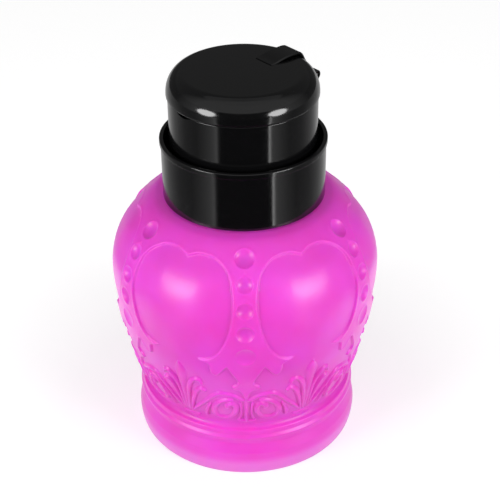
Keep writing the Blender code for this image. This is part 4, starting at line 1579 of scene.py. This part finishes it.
@dataclass(frozen=True)
class FlipLid:
    """Flip lid: a shell with a spigot, a ring for its seal, a hinge knuckle and the raised strap."""

    radius: float = 20.6
    wall: float = 1.3
    low: float = 106.6
    top: float = 113.1
    shoulder_width: float = 4.5
    shoulder_height: float = 5.9
    shoulder_steps: int = 33
    steps: int = 144
    spigot_radius: float = 18.6
    spigot_wall: float = 1.0
    spigot_low: float = 105.0
    groove: float = 2.4
    ring_bore: float = 5.3
    ring_wall: float = 0.9
    ring_drop: float = 1.8
    notch_gap: float = 0.3
    notch_clear: float = 0.4
    plug_lip: float = 1.6
    plug_slope: float = 2.0
    plug_hollow: float = 0.3
    strap_start: float = 7.3
    strap_half: float = 3.3
    strap_thickness: float = 0.75
    strap_edge: float = 0.28
    strap_lift: float = 1.1
    strap_steps: int = 6
    strap_spacing: float = 0.4
    strap_shares: tuple[Point, ...] = ((0.124, 0.872), (0.27, 0.94), (0.415, 0.983), (0.6, 1.0),
                                       (0.72, 0.974), (0.778, 0.897), (0.822, 0.76), (0.865, 0.564),
                                       (0.915, 0.366), (0.943, 0.17), (0.945, 0.05))
    hinge: LidHinge = LidHinge()
    finish: GlossPolystyrene = GlossPolystyrene()
    seal: FoamedPolyethylene = FoamedPolyethylene()

    def shoulder(self) -> list[Corner]:
        """The long rounded shoulder, from the lid's top down to its side."""
        turns = np.radians(np.linspace(90, 0, self.shoulder_steps))
        return [(float(self.radius + (np.cos(turn) - 1) * self.shoulder_width),
                 float(self.top + (np.sin(turn) - 1) * self.shoulder_height), 0.0) for turn in turns]

    def strap(self) -> Form:
        """Build the strap, which bridges from the lid's top over its shoulder to the knuckle.

        Returns:
            The closed form.
        """
        hinge = self.hinge
        half = self.strap_thickness / 2
        span = hinge.out + hinge.knuckle - half - self.strap_start
        rise = self.top + self.strap_lift - half - hinge.pivot_z
        points = [(self.strap_start, self.top - half / 2)]
        points += [(self.strap_start + span * out, hinge.pivot_z + rise * up)
                   for out, up in self.strap_shares]
        middle = spaced(smooth_curve(points, self.strap_steps), self.strap_spacing)
        loops = []
        # The strap's outer faces are smaller all round than its section, by its edge's chamfer.
        for along, edge in ((-self.strap_half, self.strap_edge), (self.strap_edge - self.strap_half, 0.0),
                            (self.strap_half - self.strap_edge, 0.0), (self.strap_half, self.strap_edge)):
            path = middle.copy()
            path[0] += (middle[1] - middle[0]) * edge / self.strap_spacing
            path[-1] += (middle[-2] - middle[-1]) * edge / self.strap_spacing
            loop = np.concatenate([inset(path, edge - half), inset(path, half - edge)[::-1]])
            loops.append(hinge.place(np.insert(loop, 1, along, axis=1)))
        return skin(loops, capped=True)

    def build(self) -> None:
        """Build the lid and its seal."""
        ceiling = self.top - self.wall
        bore = self.radius - self.wall
        ring_out = self.ring_bore + self.ring_wall
        spigot_bore = self.spigot_radius - self.spigot_wall
        outline = rounded([(0, self.top, 0)] + self.shoulder() + [
            (self.radius, self.low, EDGE), (bore, self.low, EDGE), (bore, ceiling - self.groove, EDGE),
            (self.spigot_radius, ceiling - self.groove, EDGE),
            (self.spigot_radius, self.spigot_low, SOFT), (spigot_bore, self.spigot_low, SOFT),
            (spigot_bore, ceiling, FILLET), (ring_out, ceiling, EDGE),
            (ring_out, ceiling - self.ring_drop, EDGE), (self.ring_bore, ceiling - self.ring_drop, EDGE),
            (self.ring_bore, ceiling, HAIR), (0, ceiling, 0)], closed=False)
        hinge = self.hinge
        near, far = hinge.half_width + hinge.side_gap - self.notch_gap, hinge.ear_end + self.notch_gap
        notch_out = (hinge.out - hinge.knuckle - self.notch_clear, self.radius + hinge.cut_over)
        notch_up = (self.low - hinge.cut_over, hinge.pivot_z + hinge.knuckle + self.notch_clear)
        steps = [(hinge.box(notch_out, (-far, -near), notch_up), Operation.CUT),
                 (hinge.box(notch_out, (near, far), notch_up), Operation.CUT),
                 (hinge.pin(hinge.knuckle, hinge.half_width, hinge.pin_edge), Operation.JOIN),
                 (self.strap(), Operation.JOIN),
                 (hinge.bore(), Operation.CUT)]
        piece = worked(piece_of("flip_lid", turned(outline, self.steps, closed=False)), steps)
        dressed(piece, "lid", "lid", self.finish)
        radius, low, top = reach_of("lid_seal")
        hollow = low + self.plug_hollow
        plug = rounded([
            (0, top, 0), (radius, top, EDGE), (radius, low, ROUND), (radius - self.plug_lip, low, SOFT),
            (radius - self.plug_slope, hollow, SOFT), (0, hollow, 0)], closed=False)
        dressed(piece_of("seal_plug", turned(plug, CORE_STEPS, closed=False)), "lid_seal", "lid", self.seal)


# Pump inside the bottle

@dataclass(frozen=True)
class PumpCore:
    """What hangs in the neck: housing, dip tube, gasket, ball cage, spring, chaplet and stem seal.

    The nest is the chaplet's recess for the stem seal, and end_closing brings the spring's end turns
    closer together.
    """

    chamber: float = 5.2
    wall: float = 1.3
    flange: float = 1.2
    chamber_depth: float = 34.0
    pocket: float = 3.4
    pocket_depth: float = 7.07
    pocket_slope: float = 1.9
    socket: float = 2.9
    socket_slope: float = 0.6
    seat_hole: float = 1.5
    seat_depth: float = 1.2
    tube_wall: float = 0.7
    gasket_width: float = 2.2
    cage_bore: float = 1.6
    guide_gap: float = 0.3
    guide_flange: float = 1.2
    nest_width: float = 1.3
    nest_depth: float = 1.8
    stem_clear: float = 2.9
    spring_wire: float = 0.4
    spring_turns: float = 8.0
    spring_steps: int = 32
    wire_steps: int = 12
    end_closing: float = 0.035
    travel: float = 7.0
    plastic: NaturalPolypropylene = NaturalPolypropylene()
    seal: FoamedPolyethylene = FoamedPolyethylene()
    steel: DrawnStainless = DrawnStainless()

    def build(self) -> None:
        """Build every piece of the core."""
        self.build_housing()
        self.build_spring()
        tube_bore = reach_of("dip_tube")[0] - self.tube_wall
        turn_ring("suction_tube", "dip_tube", "pump_core", self.plastic, tube_bore, (CRISP,) * 4)
        gasket_bore = reach_of("neck_gasket")[0] - self.gasket_width
        turn_ring("gasket_ring", "neck_gasket", "pump_core", self.seal, gasket_bore, (EDGE,) * 4)
        turn_ring("cage_ring", "ball_cage", "pump_core", self.plastic, self.cage_bore,
                  (EDGE, EDGE, EDGE, SOFT))
        radius, low, top = reach_of("chaplet")
        guide = self.chamber - self.guide_gap
        nest = self.stem_clear + self.nest_width
        shelf, nest_floor = top - self.guide_flange, top - self.nest_depth
        turn_piece("stem_guide", "chaplet", "pump_core", self.plastic, [
            (radius, top, EASY), (radius, shelf, CRISP), (guide, shelf, HAIR), (guide, low, SOFT),
            (self.stem_clear, low, EDGE), (self.stem_clear, nest_floor, HAIR), (nest, nest_floor, CRISP),
            (nest, top, EDGE)])
        turn_ring("wiper_ring", "stem_seal", "pump_core", self.seal, self.stem_clear, (SOFT,) * 4)

    def build_housing(self) -> None:
        """The flanged chamber, with the ball's pocket and the tube's socket below."""
        flange, low, top = reach_of("pump_housing")
        chamber, pocket, socket, hole = self.chamber, self.pocket, self.socket, self.seat_hole
        wall = self.wall
        shelf = top - self.flange
        floor = shelf - self.chamber_depth
        seat = floor - self.pocket_depth
        under = seat - self.seat_depth
        turn_piece("pump_barrel", "pump_housing", "pump_core", self.plastic, [
            (flange, top, EDGE), (flange, shelf, EDGE), (chamber + wall, shelf, FILLET),
            (chamber + wall, floor - wall, FILLET), (pocket + wall, floor - 2 * wall, SOFT),
            (pocket + wall, seat, FILLET), (socket + wall, seat - self.socket_slope, EDGE),
            (socket + wall, low, SOFT), (socket, low, EDGE), (socket, under, HAIR), (hole, under, HAIR),
            (hole, seat, HAIR), (pocket, seat + self.pocket_slope, SOFT), (pocket, floor, EDGE),
            (chamber, floor, EDGE), (chamber, top, EDGE)])

    def build_spring(self) -> None:
        """The return spring, one wire with its end turns drawn close."""
        radius, low, top = reach_of("return_spring")
        wire = self.spring_wire
        middle = radius - wire
        share = np.linspace(0, 1, int(self.spring_turns * self.spring_steps) + 1)
        turn = share * math.tau * self.spring_turns
        level = low + wire + (top - low - 2 * wire) * (share - self.end_closing * np.sin(math.tau * share))
        path = np.stack([middle * np.cos(turn), middle * np.sin(turn), level], axis=1)
        side = np.stack([np.cos(turn), np.sin(turn), np.zeros_like(turn)], axis=1)
        other = np.cross(directions(path), side)
        spin = np.arange(self.wire_steps) * (math.tau / self.wire_steps)
        loops = [place + wire * (np.cos(spin)[:, None] * a + np.sin(spin)[:, None] * b)
                 for place, a, b in zip(path, side, other)]
        spring = piece_of("coil_spring", skin(loops, capped=True))
        dressed(spring, "return_spring", "pump_core", self.steel)
        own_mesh(spring)


@dataclass(frozen=True)
class Plunger:
    """What moves with the head's stem, and the two valve balls.

    The piston is a double cup: each end has a lip on the chamber's wall, round a hollow.
    """

    bore: float = 1.3
    clear: float = 2.9
    waist_depth: float = 0.7
    lip_height: float = 1.2
    lip_slope: float = 1.9
    lip_width: float = 0.6
    cup_width: float = 1.0
    cup_depth: float = 0.8
    ball_steps: int = 25
    plastic: NaturalPolypropylene = NaturalPolypropylene()
    seal: FoamedPolyethylene = FoamedPolyethylene()
    steel: DrawnStainless = DrawnStainless()

    def build(self) -> None:
        """Build the stem, the piston, its retainer and the balls."""
        turn_ring("hollow_stem", "stem", "plunger", self.plastic, self.bore, (SOFT, SOFT, EDGE, EDGE))
        radius, low, top = reach_of("piston")
        waist, lip, cup = radius - self.waist_depth, radius - self.lip_width, radius - self.cup_width
        turn_piece("piston_cup", "piston", "plunger", self.seal, [
            (radius, top, HAIR), (radius, top - self.lip_height, SOFT), (waist, top - self.lip_slope, FILLET),
            (waist, low + self.lip_slope, FILLET), (radius, low + self.lip_height, SOFT), (radius, low, HAIR),
            (lip, low, HAIR), (cup, low + self.cup_depth, EDGE), (self.clear, low + self.cup_depth, HAIR),
            (self.clear, top - self.cup_depth, HAIR), (cup, top - self.cup_depth, EDGE), (lip, top, HAIR)])
        turn_ring("retainer_ring", "piston_retainer", "plunger", self.plastic, self.clear,
                  (EASY, EASY, EDGE, EDGE))
        for name, node, body in (("lower_ball", "inlet_ball", "inlet_valve"),
                                 ("upper_ball", "outlet_ball", "outlet_valve")):
            radius, low, top = reach_of(node)
            middle = (low + top) / 2
            turns = np.linspace(-math.pi / 2, math.pi / 2, self.ball_steps)
            outline = [(max(0.0, radius * math.cos(turn)), middle + radius * math.sin(turn))
                       for turn in turns]
            outline[0], outline[-1] = (0.0, low), (0.0, top)
            dressed(piece_of(name, turned(outline, CORE_STEPS, closed=False)), node, body, self.steel)


# Studio

@dataclass(frozen=True)
class Softbox:
    """A light that stands or hangs round the set and faces the bottle's axis.

    One that reflections show is elliptical, and the others are rectangular.
    """

    name: str
    turn: float
    distance: float
    height: float
    width: float
    length: float
    radiance: float
    mirrored: bool = False

    def build(self) -> None:
        """Add the light; one that is right over the bottle faces down."""
        data = bpy.data.lights.new(self.name, "AREA")
        data.shape = "ELLIPSE" if self.mirrored else "RECTANGLE"
        data.size = self.width * MM
        data.size_y = self.length * MM
        data.energy = self.radiance * math.pi * self.width * self.length * MM ** 2
        light = bpy.data.objects.new(self.name, data)
        bpy.context.scene.collection.objects.link(light)
        turn = math.radians(self.turn)
        place = (self.distance * math.sin(turn), -self.distance * math.cos(turn), self.height)
        tilt = math.pi / 2 if self.distance else 0.0
        face = Matrix.Rotation(turn, 4, "Z") @ Matrix.Rotation(tilt, 4, "X")
        light.matrix_world = Matrix.Translation([value * MM for value in place]) @ face
        light.visible_camera = False
        light.visible_glossy = self.mirrored


@dataclass(frozen=True)
class Studio:
    """Camera, soft lights, cards that only reflections see, and the white floor.

    A card's levels are its brightness at angles from the front, where the right is positive.
    """

    lens: float = 90.0
    camera_back: float = 302.286
    camera_height: float = 251.805
    camera_side: float = 1.47
    camera_pitch: float = 32.871
    camera_roll: float = 0.602
    clip_start: float = 0.01
    softboxes: tuple[Softbox, ...] = (
        Softbox("lamp_right", 49, 300, 135, 150, 110, 8.5, mirrored=True),
        Softbox("lamp_left", -52, 300, 135, 150, 110, 8.5, mirrored=True),
        Softbox("panel_right", 55, 700, 300, 260, 580, 2.0),
        Softbox("panel_left", -55, 700, 300, 260, 580, 2.0),
        Softbox("top_softbox", 0, 0, 900, 900, 900, 0.3),
    )
    fill: float = 0.33
    floor_size: float = 6000.0
    floor_colour: str = "#CACACA"
    floor_lift: float = 0.69
    shadow_lift: float = 0.56
    shadow_reach: float = 110.0
    near_radius: float = 55.0
    far_radius: float = 135.0
    curtain_radius: float = 1200.0
    front_rise: float = 24.0
    curtain_rise: float = 60.0
    card_steps: int = 96
    floor_levels: tuple[Point, ...] = (
        (-180, 0.6), (-145, 0.6), (-120, 0.32), (-95, 0.15), (-72, 0.12), (-60, 0.25), (-50, 0.42),
        (-43, 0.62), (-39, 1.0), (-36, 0.1), (-33, 0.0), (37.4, 0.0), (37.8, 5.0), (39.5, 2.5), (41.5, 0.6),
        (50, 0.45), (60, 0.25), (72, 0.12), (95, 0.15), (120, 0.32), (145, 0.6), (180, 0.6))
    near_levels: tuple[Point, ...] = (
        (-180, 1.6), (-125, 1.6), (-80, 1.0), (-50, 0.4), (-30, 0.05), (30, 0.05), (50, 0.4), (80, 1.0),
        (125, 1.6), (180, 1.6))
    low_levels: tuple[Point, ...] = (
        (-180, 0.07), (-110, 0.08), (-75, 0.4), (-42, 0.4), (-34, 0.02), (34, 0.02), (42, 0.4), (75, 0.4),
        (110, 0.08), (180, 0.07))
    high_levels: tuple[Point, ...] = (
        (-180, 0.1), (-110, 0.12), (-75, 0.5), (75, 0.5), (110, 0.12), (180, 0.1))
    canopy_levels: tuple[Point, ...] = (
        (-180, 0.26), (-110, 0.32), (-70, 0.47), (70, 0.47), (110, 0.32), (180, 0.26))

    def build(self) -> None:
        """Set the camera, the world, the lights, the floor and the cards."""
        bpy.context.scene.view_settings.view_transform = "Standard"
        self.build_camera()
        self.build_world()
        for softbox in self.softboxes:
            softbox.build()
        self.build_floor()
        far = self.curtain_radius
        middle, top = (far * math.tan(math.radians(rise)) for rise in (self.front_rise, self.curtain_rise))
        self.build_card("near_card", [(self.near_radius, 1.0), (self.far_radius, 1.0)], self.near_levels)
        self.build_card("floor_card", [(self.far_radius, 1.0), (far, 1.0)], self.floor_levels)
        self.build_card("low_curtain", [(far, 1.0), (far, middle)], self.low_levels)
        self.build_card("high_curtain", [(far, middle), (far, top)], self.high_levels)
        self.build_card("canopy", [(far, top), (0.0, top)], self.canopy_levels)

    def build_camera(self) -> None:
        """The camera, placed by the bottle's outline in the photograph."""
        data = bpy.data.cameras.new("view")
        data.lens = self.lens
        data.clip_start = self.clip_start
        camera = bpy.data.objects.new("view", data)
        bpy.context.scene.collection.objects.link(camera)
        tilt = Matrix.Rotation(math.radians(90 - self.camera_pitch), 4, "X")
        roll = Matrix.Rotation(math.radians(-self.camera_roll), 4, "Z")
        place = (self.camera_side * MM, -self.camera_back * MM, self.camera_height * MM)
        camera.matrix_world = Matrix.Translation(place) @ tilt @ roll
        bpy.context.scene.camera = camera

    def build_world(self) -> None:
        """White to the camera and in reflections, and a soft grey fill as light."""
        world = bpy.data.worlds.new("studio")
        world.use_nodes = True
        bpy.context.scene.world = world
        tree = world.node_tree
        tree.nodes.clear()
        seen = self.seen(tree)
        strength = add_node(tree, "ShaderNodeMapRange", {
            "Value": seen, "To Min": self.fill, "To Max": 1.0}).outputs["Result"]
        back = add_node(tree, "ShaderNodeBackground", {"Color": WHITE, "Strength": strength})
        add_node(tree, "ShaderNodeOutputWorld", {"Surface": back.outputs["Background"]})

    @staticmethod
    def seen(tree: bpy.types.NodeTree) -> bpy.types.NodeSocket:
        """Tell rays that look, from the camera or by way of a mirror or glass, from rays that light.

        Args:
            tree: The node tree.

        Returns:
            A socket that is 1 for rays that look, and 0 for the others.
        """
        path = add_node(tree, "ShaderNodeLightPath").outputs
        first = add_node(tree, "ShaderNodeMath", {
            0: path["Is Camera Ray"], 1: path["Is Glossy Ray"]}, operation="MAXIMUM")
        both = add_node(tree, "ShaderNodeMath", {
            0: first.outputs[0], 1: path["Is Transmission Ray"]}, operation="MAXIMUM")
        return both.outputs[0]

    def build_floor(self) -> None:
        """The white floor: matt, to take the bottle's shadow, and lifted to white for rays that look.

        The lift is less near the foot, so that a faint shadow shows there.
        """
        half = self.floor_size / 2
        corners = np.array([(-half, -half, 0), (half, -half, 0), (half, half, 0), (-half, half, 0)], float)
        floor = piece_of("floor", Form(corners, [(0, 1, 2, 3)]))
        made = empty_material("white_floor")
        tree = made.node_tree
        matt = add_node(tree, "ShaderNodeBsdfDiffuse", {"Color": linear(self.floor_colour)})
        place = add_node(tree, "ShaderNodeTexCoord").outputs["Object"]
        away = add_node(tree, "ShaderNodeVectorMath", {0: place}, operation="LENGTH").outputs["Value"]
        lift = add_node(tree, "ShaderNodeMapRange", {
            "Value": away, "From Min": self.shadow_reach * MM / 2, "From Max": self.shadow_reach * MM,
            "To Min": self.shadow_lift, "To Max": self.floor_lift}).outputs["Result"]
        level = add_node(tree, "ShaderNodeMath", {0: self.seen(tree), 1: lift}, operation="MULTIPLY")
        glow = add_node(tree, "ShaderNodeEmission", {"Color": WHITE, "Strength": level.outputs[0]})
        both = add_node(tree, "ShaderNodeAddShader", {0: matt.outputs[0], 1: glow.outputs[0]})
        add_node(tree, "ShaderNodeOutputMaterial", {"Surface": both.outputs[0]})
        floor.data.materials.append(made)

    def build_card(self, name: str, outline: Sequence[Point], levels: Sequence[Point]) -> None:
        """Turn a glowing card about Z, which only reflections see.

        Args:
            name: Name of the card.
            outline: Radius and height of its ends.
            levels: Angle from the front, in degrees, and brightness there.
        """
        made = empty_material(name)
        tree = made.node_tree
        place = add_node(tree, "ShaderNodeTexCoord").outputs["Object"]
        parts = add_node(tree, "ShaderNodeSeparateXYZ", {"Vector": place}).outputs
        front = add_node(tree, "ShaderNodeMath", {0: parts["Y"], 1: -1.0}, operation="MULTIPLY").outputs[0]
        turn = add_node(tree, "ShaderNodeMath", {0: parts["X"], 1: front}, operation="ARCTAN2").outputs[0]
        share = add_node(tree, "ShaderNodeMapRange", {
            "Value": turn, "From Min": -math.pi, "From Max": math.pi}).outputs["Result"]
        ramp = add_node(tree, "ShaderNodeValToRGB", {"Fac": share})
        stops = ramp.color_ramp.elements
        brightest = max(level for _, level in levels)
        for index, (angle, level) in enumerate(levels):
            inner = 0 < index < len(levels) - 1
            stop = stops.new(angle / 360 + 0.5) if inner else stops[-1 if index else 0]
            stop.color = (level / brightest, level / brightest, level / brightest, 1.0)
        glow = add_node(tree, "ShaderNodeEmission", {"Color": ramp.outputs["Color"], "Strength": brightest})
        add_node(tree, "ShaderNodeOutputMaterial", {"Surface": glow.outputs[0]})
        card = piece_of(name, woven([ring(radius, level, self.card_steps) for radius, level in outline]))
        card.data.materials.append(made)
        card.visible_camera = card.visible_diffuse = card.visible_shadow = card.visible_transmission = False


def main() -> None:
    """Build the studio and every piece, and log the number of faces of each piece."""
    logging.basicConfig(level=logging.INFO, format="%(name)s %(message)s")
    Studio().build()
    for assembly in (Bottle(), ScrewCollar(), PumpHead(), FlipLid(), PumpCore(), Plunger()):
        log.info("building %s", type(assembly).__name__)
        assembly.build()


if __name__ == "__main__":
    main()
